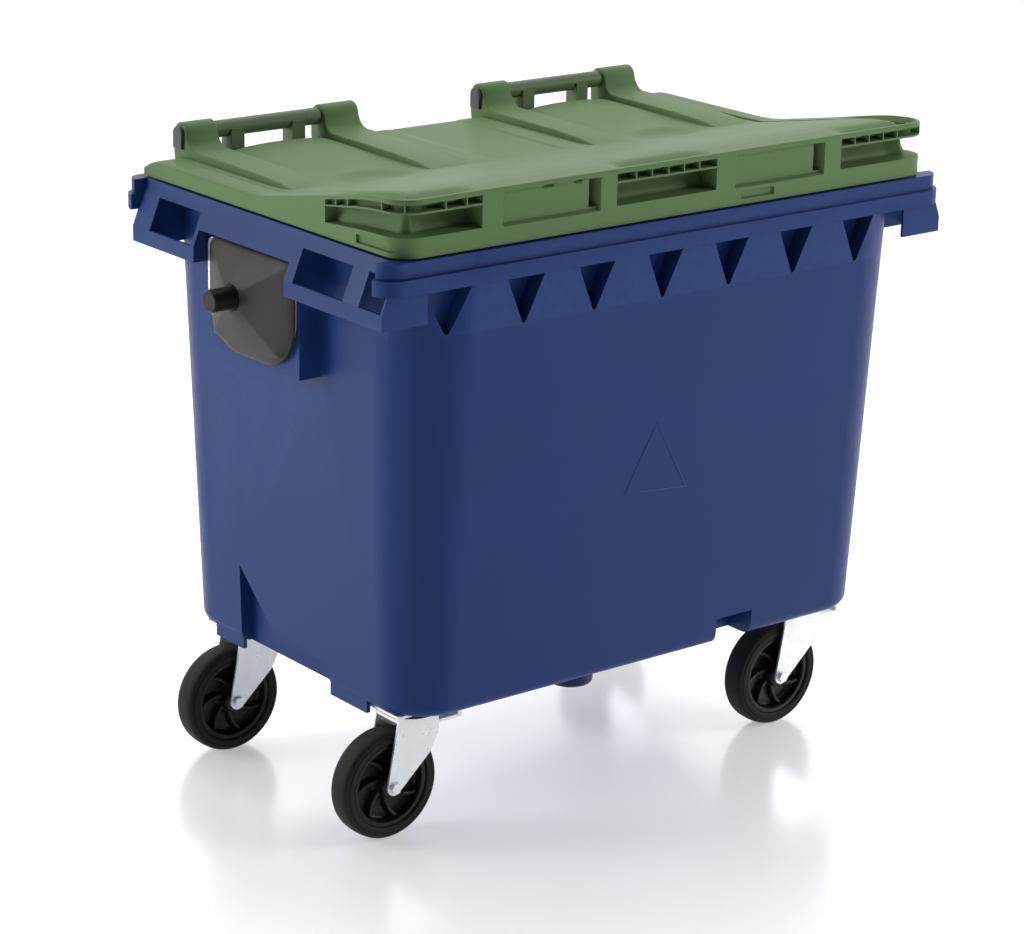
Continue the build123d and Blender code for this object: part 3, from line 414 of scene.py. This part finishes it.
# %% [markdown]
# ## Moulded and pressed parts with rounded edges
# A CAD part has knife edges. A real moulding or pressing never does, and the thin highlight along
# each edge is most of what the eye reads. A merged copy of the CAD mesh gets a small bevel, and
# stands for the node. The three rim nodes keep their CAD mesh: each is a set of solids that touch,
# and a bevel would also round the seams between them.

# %% Rounded copies
def rounded_copy(node, width):
    """A merged copy of a CAD node with its sharp edges rounded to width, in metres."""
    mesh = frame["nodes"][node].data.copy()
    mesh.name = f"{node}_rounded"
    mesh.polygons.foreach_set("use_smooth", np.ones(len(mesh.polygons), bool))
    piece = bpy.data.objects.new(f"{node}_rounded", mesh)
    bpy.context.scene.collection.objects.link(piece)
    weld = piece.modifiers.new("weld", "WELD")
    weld.merge_threshold = 0.01 * MM
    flat = piece.modifiers.new("flat", "DECIMATE")
    flat.decimate_type = "DISSOLVE"
    flat.angle_limit = radians(1.0)
    bevel = piece.modifiers.new("bevel", "BEVEL")
    bevel.width = width
    bevel.segments = 2
    bevel.limit_method = "ANGLE"
    bevel.angle_limit = radians(32)
    bevel.use_clamp_overlap = True
    weighted = piece.modifiers.new("weighted", "WEIGHTED_NORMAL")
    weighted.mode = "FACE_AREA"
    weighted.weight = 60
    graph = bpy.context.evaluated_depsgraph_get()
    done = bpy.data.meshes.new_from_object(piece.evaluated_get(graph))
    piece.modifiers.clear()
    piece.data = done
    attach(piece, BODY_OF[node])
    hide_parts(node)
    dress(piece, SLOT_OF[node])


ROUNDING = {
    "tub": 2.0,
    "hinge_handle_left": 2.0,
    "hinge_handle_right": 2.0,
    "hinge_pin_left": 1.5,
    "hinge_pin_right": 1.5,
    "drain_plug": 1.2,
}
for corner in CORNERS:
    ROUNDING[f"castor_fork_{corner}"] = 0.9
    ROUNDING[f"castor_plate_{corner}"] = 0.9
    ROUNDING[f"dust_guard_{corner}"] = 1.0
    ROUNDING[f"axle_bolt_{corner}"] = 0.5
for corner in CORNERS[:2]:
    ROUNDING[f"brake_pedal_{corner}"] = 1.0
for node, millimetres in ROUNDING.items():
    rounded_copy(node, millimetres * MM)
print("rounded copies:", len(ROUNDING))

# %% [markdown]
# ## Lid
# The lid is one thin moulding: flat at the rear, ramped up to the front, rolled down to a skirt
# all round. Its front edge has three finger grips, each an outward-open channel stiffened by
# thin ribs with a scoop in the top behind it, and two shallow panels between them. A box with
# booleans could give the outline but not the scoops, the swelling in front of the handles or the
# grips that wrap round the corners. So the top is a height field, the skirt is a belt that hangs
# from its edge and is pressed in by a depth field, and the underside is a second height field.

# %% Helpers for computed surfaces
def soft_step(value, low, high):
    """0 up to low, 1 from high on, and the cubic 3t^2 - 2t^3 between them."""
    t = np.clip((value - low) / (high - low), 0.0, 1.0)
    return t * t * (3.0 - 2.0 * t)


def soft_band(value, low, high, soft):
    """1 between low and high, falling to 0 over the width soft outside them."""
    return soft_step(value, low - soft, low) * (1.0 - soft_step(value, high, high + soft))


def grid_quads(rows, columns, start=0, closed=False):
    """Corner numbers of the quads of a grid; closed joins the last column to the first."""
    i, j = np.meshgrid(np.arange(rows - 1), np.arange(columns - (0 if closed else 1)), indexing="ij")
    right = (j + 1) % columns
    corners = (i * columns + j, i * columns + right, (i + 1) * columns + right, (i + 1) * columns + j)
    return start + np.stack(corners, axis=-1).reshape(-1, 4)


def unit(rows):
    """Each row divided by its length; a row of no length stays zero."""
    return rows / np.maximum(np.linalg.norm(rows, axis=1), 1e-6)[:, None]


def outward(outline):
    """Unit normals that point out of a closed plane outline, halfway between its two edges."""
    following = np.roll(outline, -1, axis=0)
    way = unit(following - outline) + unit(outline - np.roll(outline, 1, axis=0))
    area = np.sum(outline[:, 0] * following[:, 1] - outline[:, 1] * following[:, 0])
    return np.sign(area) * unit(np.column_stack([way[:, 1], -way[:, 0]]))


def make_piece(name, points, faces, body, node, slot, sharp=35):
    """A mesh from points in millimetres, welded, with faces turned outward and smooth shading."""
    mesh = bpy.data.meshes.new(name)
    mesh.from_pydata(points * MM, [], [list(map(int, face)) for face in faces])
    work = bmesh.new()
    work.from_mesh(mesh)
    bmesh.ops.remove_doubles(work, verts=work.verts, dist=0.00002)
    bmesh.ops.recalc_face_normals(work, faces=work.faces)
    work.to_mesh(mesh)
    work.free()
    mesh.polygons.foreach_set("use_smooth", np.ones(len(mesh.polygons), bool))
    mesh.set_sharp_from_angle(angle=radians(sharp))
    piece = bpy.data.objects.new(name, mesh)
    bpy.context.scene.collection.objects.link(piece)
    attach(piece, body)
    if node:
        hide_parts(node)
    dress(piece, slot)
    print(name, len(mesh.vertices), "points", len(mesh.polygons), "faces")


# %% Lid sizes and fields
LID_FRONT, LID_REAR, LID_HALF, LID_LOW = -384.0, 376.0, 592.0, 1072.0
LID_CORNER = 41.0            # plan radius of the front corners
EDGE_ROLL = 4.0              # radius of the rolled top edge
HINGE_X = 335.0
HINGE_Y, HINGE_Z = 370.0, 1138.0
NOTCH_X = (-125.0, 113.0)    # about each hinge's middle
NOTCH_Y = 326.0
TAIL_Y = 300.0               # from here on, the stations spread evenly to the rear edge
STRAIGHT = LID_HALF - LID_CORNER
TURN = LID_CORNER * pi / 2
RAMP_Y = (LID_FRONT, -340.0, -300.0, -262.0, -120.0, 0.0, 25.0, 60.0, 338.0, 356.0, LID_REAR)
RAMP_Z = (1168.5, 1167.5, 1164.0, 1158.0, 1129.0, 1105.5, 1102.0, 1100.3, 1100.0, 1097.0, 1086.0)
SCOOP_DEPTH, SWELL_HEIGHT, HOLLOW_DEPTH, RIDGE_HEIGHT = 15.0, 12.0, 6.5, 2.2
SWELL_HALF = 112.0
GRIP_DEPTH, PANEL_DEPTH, PANEL_END_DEPTH, SLOT_DEPTH = 48.0, 8.0, 24.0, 5.0
RIB_HALF = 1.1
GRIP_RUNS = ((-779.0, -430.0), (-144.0, 80.0), (375.0, 779.0))
PANEL_RUNS = ((-387.0, -179.0), (123.0, 335.0))
RIBS = (-749.0, -716.0, -622.0, -580.0, -505.0, -462.0, -102.0, -67.0, -30.0, 5.0, 40.0)
RIBS += (408.0, 443.0, 478.0, 513.0, 580.0, 622.0, 716.0, 749.0)
SLOTS = ((-300.0, -276.0, 0.90, 0.95), (-232.0, -216.0, 0.90, 0.95))
SLOTS += ((-690.0, -598.0, 0.10, 0.25), (140.0, 215.0, 0.12, 0.24))


def edge_distance(x, y):
    """Distance inward from the lid's plan outline, a rectangle with rounded front corners."""
    side = LID_HALF - np.abs(x)
    front = y - LID_FRONT
    inside = np.minimum(side, front)
    corner = (side < LID_CORNER) & (front < LID_CORNER)
    arc = LID_CORNER - np.hypot(LID_CORNER - side, LID_CORNER - front)
    return np.where(corner, arc, inside)


def edge_run(x, y):
    """Signed distance along the outline from the middle of the front, positive to the right."""
    angle = np.arctan2(np.abs(x) - STRAIGHT, LID_FRONT + LID_CORNER - y)
    on_arc = STRAIGHT + LID_CORNER * np.clip(angle, 0, pi / 2)
    on_side = STRAIGHT + TURN + (y - LID_FRONT - LID_CORNER)
    run = np.where(y > LID_FRONT + LID_CORNER, on_side, on_arc)
    return np.where(np.abs(x) < STRAIGHT, x, np.sign(x) * run)


def lid_height(x, y):
    """Flat rear, straight ramp and soft crown at the front; scoops, swellings and hollows added."""
    z = np.interp(y, RAMP_Y, RAMP_Z)
    depth = edge_distance(x, y)
    run = edge_run(x, y)
    for index, (low, high) in enumerate(GRIP_RUNS):
        along = soft_step(run, low, low + 50) * (1 - soft_step(run, high - 50, high))
        reach = 58.0 if index == 1 else 58.0 + 34.0 * soft_step(np.abs(run), 540, 640)
        across = soft_step(depth, 5, 11) * (1 - soft_step(depth, 13, reach))
        z = z - SCOOP_DEPTH * along * across
    for side in SIDES.values():
        off = x - side * HINGE_X
        swell = np.sqrt(np.clip(1 - ((off + 5) / SWELL_HALF) ** 2, 0, 1))
        z = z + SWELL_HEIGHT * swell * soft_step(y, 95, 300)
        hollow = np.hypot((off + 8) / 92.0, (y - 30) / 62.0)
        z = z - HOLLOW_DEPTH * (1 - soft_step(hollow, 0.45, 1.0))
        ridge = soft_band(off, -250, -205, 6) + soft_band(off, 205, 250, 6)
        z = z + RIDGE_HEIGHT * ridge * soft_band(y, 40, 330, 40)
    return z


def belt_depth(run, share):
    """How far the skirt is pressed in at a run along it and a share of its height."""
    depth = np.zeros(np.broadcast(run, share).shape)
    ribs = np.zeros_like(depth)
    for rib in RIBS:
        ribs = np.maximum(ribs, soft_band(run, rib - RIB_HALF, rib + RIB_HALF, 0.9))
    narrower = 14.0 * soft_step(np.abs(run), 520, 560) + 10.0 * soft_step(np.abs(run), 640, 779)
    mouth = soft_band(share, 0.375, 0.765, 0.012) * (0.78 + 0.22 * soft_step(share, 0.4, 0.62))
    channel = 0.45 * soft_band(share, 0.825, 0.945, 0.010) * (1 - ribs)
    for low, high in GRIP_RUNS:
        along = soft_band(run, low + 2, high - 2, 2)
        depth = depth + along * (GRIP_DEPTH - narrower) * (mouth + channel)
    for low, high in PANEL_RUNS:
        panel = soft_band(run, low + 3, high - 3, 3) * soft_band(share, 0.36, 0.93, 0.02)
        end = soft_band(run, high - 19, high - 4, 1.5) * soft_band(share, 0.42, 0.90, 0.02)
        depth = depth + PANEL_DEPTH * panel + PANEL_END_DEPTH * end
    for low, high, share_low, share_high in SLOTS:
        slot = soft_band(run, low, high, 1.5) * soft_band(share, share_low, share_high, 0.015)
        depth = depth + SLOT_DEPTH * slot
    return depth


# %% Lid shell
def steps_with(marks, low, high, pitch):
    """Even stations from low to high, with each mark in place of any even station beside it."""
    even = np.arange(low, high + pitch / 2, pitch)
    clear = np.min(np.abs(even[:, None] - marks[None, :]), axis=1) > 0.6
    return np.unique(np.clip(np.concatenate([even[clear], marks, [low, high]]), low, high))


def run_marks():
    """Every run at which a grip, rib, panel or slot begins or ends."""
    marks = []
    for low, high in GRIP_RUNS + PANEL_RUNS:
        marks += [low, low + 2, low + 5, high - 5, high - 2, high]
    for rib in RIBS:
        marks += [rib - 2, rib - RIB_HALF, rib + RIB_HALF, rib + 2]
    for _, high in PANEL_RUNS:
        marks += [high - 20.5, high - 19, high - 4, high - 2.5]
    for low, high, _, _ in SLOTS:
        marks += [low - 1.5, low, high, high + 1.5]
    return np.array(marks)


def lid_stations():
    """Shares across and stations along the lid, dense where grips, ribs and notches begin."""
    marks = run_marks()
    length = np.abs(marks)
    front = marks[length < STRAIGHT - 1]
    turned = length[(length > STRAIGHT) & (length < STRAIGHT + TURN)]
    straight_side = length[length > STRAIGHT + TURN]
    notches = []
    for side in SIDES.values():
        for edge, way in zip(NOTCH_X, (-1, 1)):
            notches += [side * HINGE_X + edge, side * HINGE_X + edge + way]
    notches = np.array(notches) * STRAIGHT / LID_HALF
    across = steps_with(np.concatenate([front, notches]), -STRAIGHT, STRAIGHT, 7.0) / STRAIGHT
    corner_end = LID_FRONT + LID_CORNER
    angles = np.concatenate([np.linspace(0, pi / 2, 12), (turned - STRAIGHT) / LID_CORNER])
    scoop = LID_FRONT + np.array([0, 5, 7, 9, 11, 13, 18, 24, 32])
    stations = [corner_end - LID_CORNER * np.cos(angles), corner_end + straight_side - STRAIGHT - TURN, scoop]
    marks_along = np.unique(np.round(np.concatenate(stations), 2))
    along = steps_with(marks_along, LID_FRONT, TAIL_Y, 9.0)
    tail = np.linspace(0, 1, 10)[1:]
    return across, along, tail


def lid_plan(across, along, tail, inset_x, inset_front, inset_rear):
    """Plan positions of the grid: rows run to the side outline and stop short at the notches."""
    front = LID_FRONT + inset_front
    rows = front + (along - LID_FRONT) * (TAIL_Y - front) / (TAIL_Y - LID_FRONT)
    bend = np.clip(LID_FRONT + LID_CORNER - along, 0, LID_CORNER)
    half = STRAIGHT + np.sqrt(LID_CORNER**2 - bend**2) - inset_x
    half = np.concatenate([half, np.full(len(tail), half[-1])])
    end = np.full(len(across), LID_REAR - inset_rear)
    for side in SIDES.values():
        spot = across * LID_HALF - side * HINGE_X
        inside = (spot > NOTCH_X[0] - 0.01) & (spot < NOTCH_X[1] + 0.01)
        end = np.where(inside, NOTCH_Y - inset_rear, end)
    ahead = np.repeat(rows[:, None], len(across), axis=1)
    behind = TAIL_Y + tail[:, None] * (end - TAIL_Y)[None, :]
    return half[:, None] * across[None, :], np.concatenate([ahead, behind])


def rim_loop(rows, columns):
    """Numbers of the grid's edge points, round the grid once."""
    grid = np.arange(rows * columns).reshape(rows, columns)
    return np.concatenate([grid[0, :], grid[1:, -1], grid[-1, -2::-1], grid[-2:0:-1, 0]])


BELT_SHARES = (
    (1.0, 0.97, 0.955, 0.945, 0.93, 0.88, 0.84, 0.825, 0.815, 0.79, 0.777, 0.765, 0.74, 0.66)
    + (0.56, 0.48, 0.42, 0.4, 0.375, 0.363, 0.35, 0.32, 0.265, 0.25, 0.235, 0.17, 0.12, 0.10)
    + (0.085, 0.03, 0.0)
)
BELT_REAR = -150.0           # the belt is pressed in only in front of this
UNDER_INSET = (46.0, 60.0, 10.0)
LID_WALL = 5.0


def lid_shell():
    """Top height field, belt hung from its edge, flat lower lip and a second field underneath.

    The belt leaves the top's edge through a quarter roll. Below it each point stands at
    edge + normal * (roll radius - depth), with depth taken from the pressed-in field.
    """
    across, along, tail = lid_stations()
    x, y = lid_plan(across, along, tail, 0.0, 0.0, 0.0)
    rows, columns = x.shape
    top = np.stack([x, y, lid_height(x, y)], axis=-1).reshape(-1, 3)
    loop = rim_loop(rows, columns)
    edge = top[loop]
    out = outward(edge[:, :2])
    run = edge_run(edge[:, 0], edge[:, 1])
    pressed_part = edge[:, 1] < BELT_REAR
    belt = []
    for angle in np.radians((30, 60)):
        fall = EDGE_ROLL * (1 - np.cos(angle))
        belt.append(np.column_stack([edge[:, :2] + out * EDGE_ROLL * np.sin(angle), edge[:, 2] - fall]))
    for share in BELT_SHARES:
        push = EDGE_ROLL - belt_depth(run, share) * pressed_part
        level = LID_LOW + (edge[:, 2] - EDGE_ROLL - LID_LOW) * share
        belt.append(np.column_stack([edge[:, :2] + out * push[:, None], level]))
    inner_x, inner_y = lid_plan(across, along, tail, *UNDER_INSET)
    inner_z = lid_height(inner_x, inner_y) - LID_WALL
    under = np.stack([inner_x, inner_y, inner_z], axis=-1).reshape(-1, 3)
    lip = under[loop].copy()
    lip[:, 2] = LID_LOW
    points = [top] + belt + [lip, under]
    around = len(loop)
    rings = rows * columns + np.arange((len(belt) + 1) * around).reshape(-1, around)
    under_start = rings[-1, -1] + 1
    chain = np.concatenate([loop[None, :], rings, (under_start + loop)[None, :]])
    following = np.roll(chain, -1, axis=1)
    sides = np.stack([chain[:-1], chain[1:], following[1:], following[:-1]], axis=-1).reshape(-1, 4)
    faces = np.concatenate([grid_quads(rows, columns), sides, grid_quads(rows, columns, under_start)])
    return np.concatenate(points), faces


lid_points, lid_faces = lid_shell()
make_piece("lid_shell", lid_points, lid_faces, "lid", "lid", "lid_green", sharp=38)


# %% [markdown]
# ## Hinge arms
# Each hinge arm is an eye round the pin whose neck drops steeply and runs forward as a long low
# ridge. It is one side outline swept across the arm, drawn in a little at both ends so that its
# edges are rounded. A stretched box would have no eye and no taper.

# %% Hinge arms
EYE_RADIUS = 20.5
ARM_SPANS = {"outer": (-188.5, -121.5), "inner": (109.5, 188.5)}    # about each hinge's middle
ARM_ROUNDING, ARM_TAPER, TAPER_FALL = 3.5, 3.0, 40.0


def arm_outline():
    """Side outline (y, z): eye arc, rear edge, sunk underside, ridge and concave neck."""
    turn = np.radians(np.linspace(0, 168, 26))
    eye = [HINGE_Y, HINGE_Z] + EYE_RADIUS * np.column_stack([np.cos(turn), np.sin(turn)])
    t = np.linspace(0, 1, 9)[1:, None]
    bend, neck_low = np.array([346.0, 1115.5]), np.array([322.0, 1113.5])
    neck = (1 - t) ** 2 * eye[-1] + 2 * t * (1 - t) * bend + t**2 * neck_low
    ridge = np.array([[230, 1113], [130, 1111.5], [60, 1108.5], [20, 1103.5], [-8, 1098.0]])
    under = np.array([[40, 1094], [200, 1094], [340, 1092], [384, 1083]])
    rear = np.array([[389.0, 1104.0], [390.4, 1124.0]])
    return np.concatenate([eye, neck, ridge, under, rear])


def swept_block(outline, x0, x1, rounding, taper):
    """The outline swept from x0 to x1. Near both ends it shrinks along its normals by
    r(1 - sin a) as the sweep goes r cos a outward, which rounds the end edges. Below the pin it
    grows sideways by the taper."""
    out = outward(outline)
    layers = []
    angles = np.radians(np.linspace(0, 90, 5))
    stations = [(x0 + rounding * (1 - cos(a)), -1, rounding * (1 - sin(a))) for a in angles]
    stations += [(x1 - rounding * (1 - cos(a)), 1, rounding * (1 - sin(a))) for a in angles[::-1]]
    for x, side, draw in stations:
        shape = outline - out * draw
        lean = taper * np.clip((HINGE_Z - shape[:, 1]) / TAPER_FALL, 0, 1)
        layers.append(np.column_stack([x + side * lean, shape]))
    count = len(outline)
    faces = [list(f) for f in grid_quads(len(layers), count, closed=True)]
    last = (len(layers) - 1) * count
    faces += [list(range(count)), list(range(last, last + count))]
    return np.concatenate(layers), faces


for side_name, side in SIDES.items():
    for label, span in ARM_SPANS.items():
        ends = [side * HINGE_X + end for end in span]
        arm_points, arm_faces = swept_block(arm_outline(), *ends, ARM_ROUNDING, ARM_TAPER)
        make_piece(f"hinge_arm_{label}_{side_name}", arm_points, arm_faces, "lid", "lid", "lid_green")

# %% [markdown]
# ## Trunnion covers and plates
# The cover over each trunnion plate is a blunt cone pressed flat on four sides: a rounded
# rectangle at the plate, sharp creases up the cone, a round nose at the pin. Sweeping one outline
# between those three shapes gives the creases that a plain loft would smear out. The steel plate
# behind it has the same kind of outline.

# %% Trunnion covers and plates
COVER_Y, COVER_Z = (-109.0, 144.0), (818.0, 1013.0)
PLATE_Y, PLATE_Z = (-104.0, 157.5), (822.0, 1006.5)
COVER_RADII, PLATE_RADII = (86.0, 26.0), (88.0, 14.0)    # lower and upper corners
PIN = (34.0, 927.0)
PLATE_BACK_X, PLATE_FACE_X, PLATE_EDGE = 600.0, 605.9, 0.6
COVER_BASE_X, COVER_NOSE_X, COVER_RIM = 606.0, 639.8, 6.0
NOSE_RADIUS, BORE_RADIUS = 27.0, 22.3
RING_POINTS = 96


def blunt_rectangle(span_y, span_z, radii):
    """A sharp rectangle and the same with rounded corners, as matching points."""
    (y0, y1), (z0, z1) = span_y, span_z
    per_side = RING_POINTS // 4
    share = np.arange(per_side) / per_side
    walk = [y0 + (y1 - y0) * share, np.full(per_side, y1), y1 - (y1 - y0) * share, np.full(per_side, y0)]
    rise = [np.full(per_side, z0), z0 + (z1 - z0) * share, np.full(per_side, z1), z1 - (z1 - z0) * share]
    sharp = np.column_stack([np.concatenate(walk), np.concatenate(rise)])
    radius = np.where(sharp[:, 1] < (z0 + z1) / 2, *radii)[:, None]
    core = np.clip(sharp, [y0, z0] + radius, [y1, z1] - radius)
    return sharp, core + radius * unit(sharp - core)


def ring(x, shape):
    """A plane outline (y, z) stood up at x."""
    return np.column_stack([np.full(len(shape), x), shape])


def cover_surface(side):
    """Closed skin: each ring is (1 - t) * rectangle + t * circle, the rectangle's corners
    going from rounded at the plate to sharp on the cone; the inside returns along the pin."""
    sharp, blunt = blunt_rectangle(COVER_Y, COVER_Z, COVER_RADII)
    ray = unit(sharp - PIN)
    rings = [ring(COVER_BASE_X, blunt), ring(COVER_BASE_X + 4.0, blunt)]
    rings.append(ring(COVER_BASE_X + COVER_RIM, blunt + 0.02 * (PIN - blunt)))
    for t in np.linspace(0.06, 1.0, 14):
        outline = blunt + 0.9 * soft_step(t, 0.0, 0.3) * (sharp - blunt)
        shape = (1 - t) * outline + t * (NOSE_RADIUS * ray + PIN)
        rise = (COVER_NOSE_X - COVER_BASE_X - COVER_RIM) * t**0.9
        rings.append(ring(COVER_BASE_X + COVER_RIM + rise, shape))
    inside = ((COVER_NOSE_X, 24.0), (COVER_NOSE_X - 1.5, BORE_RADIUS), (COVER_BASE_X, BORE_RADIUS))
    rings += [ring(x, radius * ray + PIN) for x, radius in inside]
    rings.append(rings[0])
    return np.concatenate(rings) * [side, 1, 1], grid_quads(len(rings), RING_POINTS, closed=True)


def plate_surface(side):
    """A flat steel plate with rounded corners and softened edges, its faces closed by n-gons."""
    rings = []
    for x, draw in (
        (PLATE_BACK_X, PLATE_EDGE),
        (PLATE_BACK_X + PLATE_EDGE, 0.0),
        (PLATE_FACE_X - PLATE_EDGE, 0.0),
        (PLATE_FACE_X, PLATE_EDGE),
    ):
        span_y = (PLATE_Y[0] + draw, PLATE_Y[1] - draw)
        span_z = (PLATE_Z[0] + draw, PLATE_Z[1] - draw)
        rings.append(ring(x * side, blunt_rectangle(span_y, span_z, PLATE_RADII)[1]))
    faces = [list(f) for f in grid_quads(len(rings), RING_POINTS, closed=True)]
    last = (len(rings) - 1) * RING_POINTS
    faces += [list(range(RING_POINTS)), list(range(last, last + RING_POINTS))]
    return np.concatenate(rings), faces


for side_name, side in SIDES.items():
    plate_points, plate_faces = plate_surface(side)
    node = f"trunnion_plate_{side_name}"
    make_piece(f"{node}_pressed", plate_points, plate_faces, "root", node, "zinc_steel")
    cover_points, cover_faces = cover_surface(side)
    node = f"trunnion_cover_{side_name}"
    make_piece(f"{node}_skin", cover_points, cover_faces, "root", node, "cover_grey", sharp=24)

# %% [markdown]
# ## Tyres
# A solid rubber tyre is a turned shape: a slightly domed tread, soft shoulders, and a groove in
# each side wall. A plain rounded cylinder would miss the dome and the groove, so the profile is
# written out and turned about the axle.

# %% Tyres
AXLE_Z, TRAIL = 100.0, 57.0
CASTOR_X, CASTOR_Y = 456.0, 244.0
TYRE_PROFILE = (
    ((99.9, 0), (99.7, 7), (99.2, 13), (98.2, 17.5), (96.2, 20.8), (93.2, 22.7), (90.4, 23.2))
    + ((89.6, 22.2), (88.6, 22.2), (87.8, 23.4), (84, 23.8), (80.5, 23.8), (79.2, 23.2), (78.1, 21.6))
)


def axle_place(corner):
    """Middle of an axle, (x, y): it trails behind its castor's swivel axis."""
    row, side = corner.split("_")
    return SIDES[side] * CASTOR_X - TRAIL, CASTOR_Y if row == "rear" else -CASTOR_Y


def tyre_surface(x, y):
    """Profile of radius against width, mirrored, closed along the bore and turned about Y."""
    half = np.array(TYRE_PROFILE)
    profile = np.concatenate([half, half[:0:-1] * [1, -1]])
    turn = np.linspace(0, 2 * pi, 121)[:, None]
    radius, width = profile[:, 0], profile[:, 1]
    around = [x + radius * np.cos(turn), y + width + 0 * turn, AXLE_Z + radius * np.sin(turn)]
    return np.stack(around, axis=-1).reshape(-1, 3), grid_quads(len(turn), len(profile), closed=True)


for corner in CORNERS:
    tyre_points, tyre_faces = tyre_surface(*axle_place(corner))
    node = f"tyre_{corner}"
    make_piece(f"{node}_turned", tyre_points, tyre_faces, BODY_OF[node], node, "tyre_rubber", sharp=50)

# %% [markdown]
# ## Wheel centres
# Each wheel centre is one black moulding: a hub, a thin closed web, an outer ring and seven
# spokes that bend the same way. All of it is one depth field over radius and angle, mirrored to
# the back, so the spokes flow into the hub and the ring as they do when moulded.

# %% Wheel centres
SPOKES, SPOKE_BEND, SPOKE_HALF, SPOKE_RISE = 7, 0.5, 6.2, 11.5
SPOKE_START, SPOKE_END = 24.0, 66.0    # radii
WEB_HALF = 4.0
WHEEL_R = (10, 19, 21, 23.5, 26, 30, 62, 65.5, 67.5, 69, 77, 78)
WHEEL_HALF = (29.0, 29.0, 27.5, 15, 8, WEB_HALF, WEB_HALF, 7, 18, 20.6, 20.6, 19.6)
WHEEL_STATIONS = (
    (10.1, 19, 20, 21, 22, 23.5, 25, 26, 28, 30, 34, 38, 43, 48, 53, 57, 60, 62, 64, 65.5, 66.5)
    + (67.5, 68.2, 69, 73, 77, 78.05)
)


def wheel_depth(radius, angle):
    """Half thickness at a radius and angle: hub, web and ring by radius; a spoke is a soft band
    round the line angle = spoke + bend * (radius - start) / (end - start)."""
    base = np.interp(radius, WHEEL_R, WHEEL_HALF)
    pitch = 2 * pi / SPOKES
    bent = angle - SPOKE_BEND * (radius - SPOKE_START) / (SPOKE_END - SPOKE_START)
    off = (np.mod(bent + pitch / 2, pitch) - pitch / 2) * radius
    spoke = soft_step(SPOKE_HALF - np.abs(off), 0.0, 2.6) * soft_step(radius, 20, 25)
    spoke = spoke * (1 - soft_step(radius, 64, 68))
    return np.maximum(base, WEB_HALF + SPOKE_RISE * spoke)


def wheel_surface(x, y):
    """Front and mirrored back of the depth field, joined at the bore and at the outer ring."""
    angle = np.linspace(0, 2 * pi, 253)[:-1]
    r, a = np.meshgrid(WHEEL_STATIONS, angle, indexing="ij")
    depth = wheel_depth(r, a)
    face = np.stack([x + r * np.cos(a), y - depth, AXLE_Z + r * np.sin(a)], axis=-1)
    rear = np.stack([x + r * np.cos(a), y + depth, AXLE_Z + r * np.sin(a)], axis=-1)[::-1]
    rings = np.concatenate([face, rear, face[:1]])
    return rings.reshape(-1, 3), grid_quads(len(rings), len(angle), closed=True)


for corner in CORNERS:
    wheel_points, wheel_faces = wheel_surface(*axle_place(corner))
    node = f"wheel_rim_{corner}"
    make_piece(f"{node}_web", wheel_points, wheel_faces, BODY_OF[node], node, "wheel_black", sharp=45)

# %% [markdown]
# ## Front triangle
# A plain raised triangle outline stands on the front wall. It is four rings offset inwards from
# one triangle and laid on the wall's slope, because an applied flat shape would not follow it.

# %% Front triangle
BASE_Z, BASE_FRONT = 240.0, -349.0
WALL_HEIGHT, WALL_LEAN = 775.0, 45.0
MARK_CORNERS = ((-25.0, 705.0), (56.0, 568.0), (-91.0, 579.0))
MARK_RINGS = ((-0.6, -0.6), (0.6, 0.9), (3.0, 0.9), (4.2, -0.6))    # offset inwards, height


def wall_front(z):
    """The front wall's y at height z: it leans out evenly from the base to the rim."""
    return BASE_FRONT - WALL_LEAN * (z - BASE_Z) / WALL_HEIGHT


def triangle_outline(corners, rings):
    """Each ring moves the corners along their bisectors by offset / sin(half angle)."""
    corners = np.array(corners)
    before = unit(np.roll(corners, 1, axis=0) - corners)
    after = unit(np.roll(corners, -1, axis=0) - corners)
    bisector = unit(before + after)
    half = np.sqrt((1 - np.sum(before * after, axis=1)) / 2)
    loops = []
    for offset, height in rings:
        flat = corners + bisector * (offset / half)[:, None]
        loops.append(np.column_stack([flat[:, 0], wall_front(flat[:, 1]) - height, flat[:, 1]]))
    loops.append(loops[0])
    return np.concatenate(loops), grid_quads(len(loops), 3, closed=True)


mark_points, mark_faces = triangle_outline(MARK_CORNERS, MARK_RINGS)
make_piece("front_triangle", mark_points, mark_faces, "root", None, "tub_blue", sharp=60)
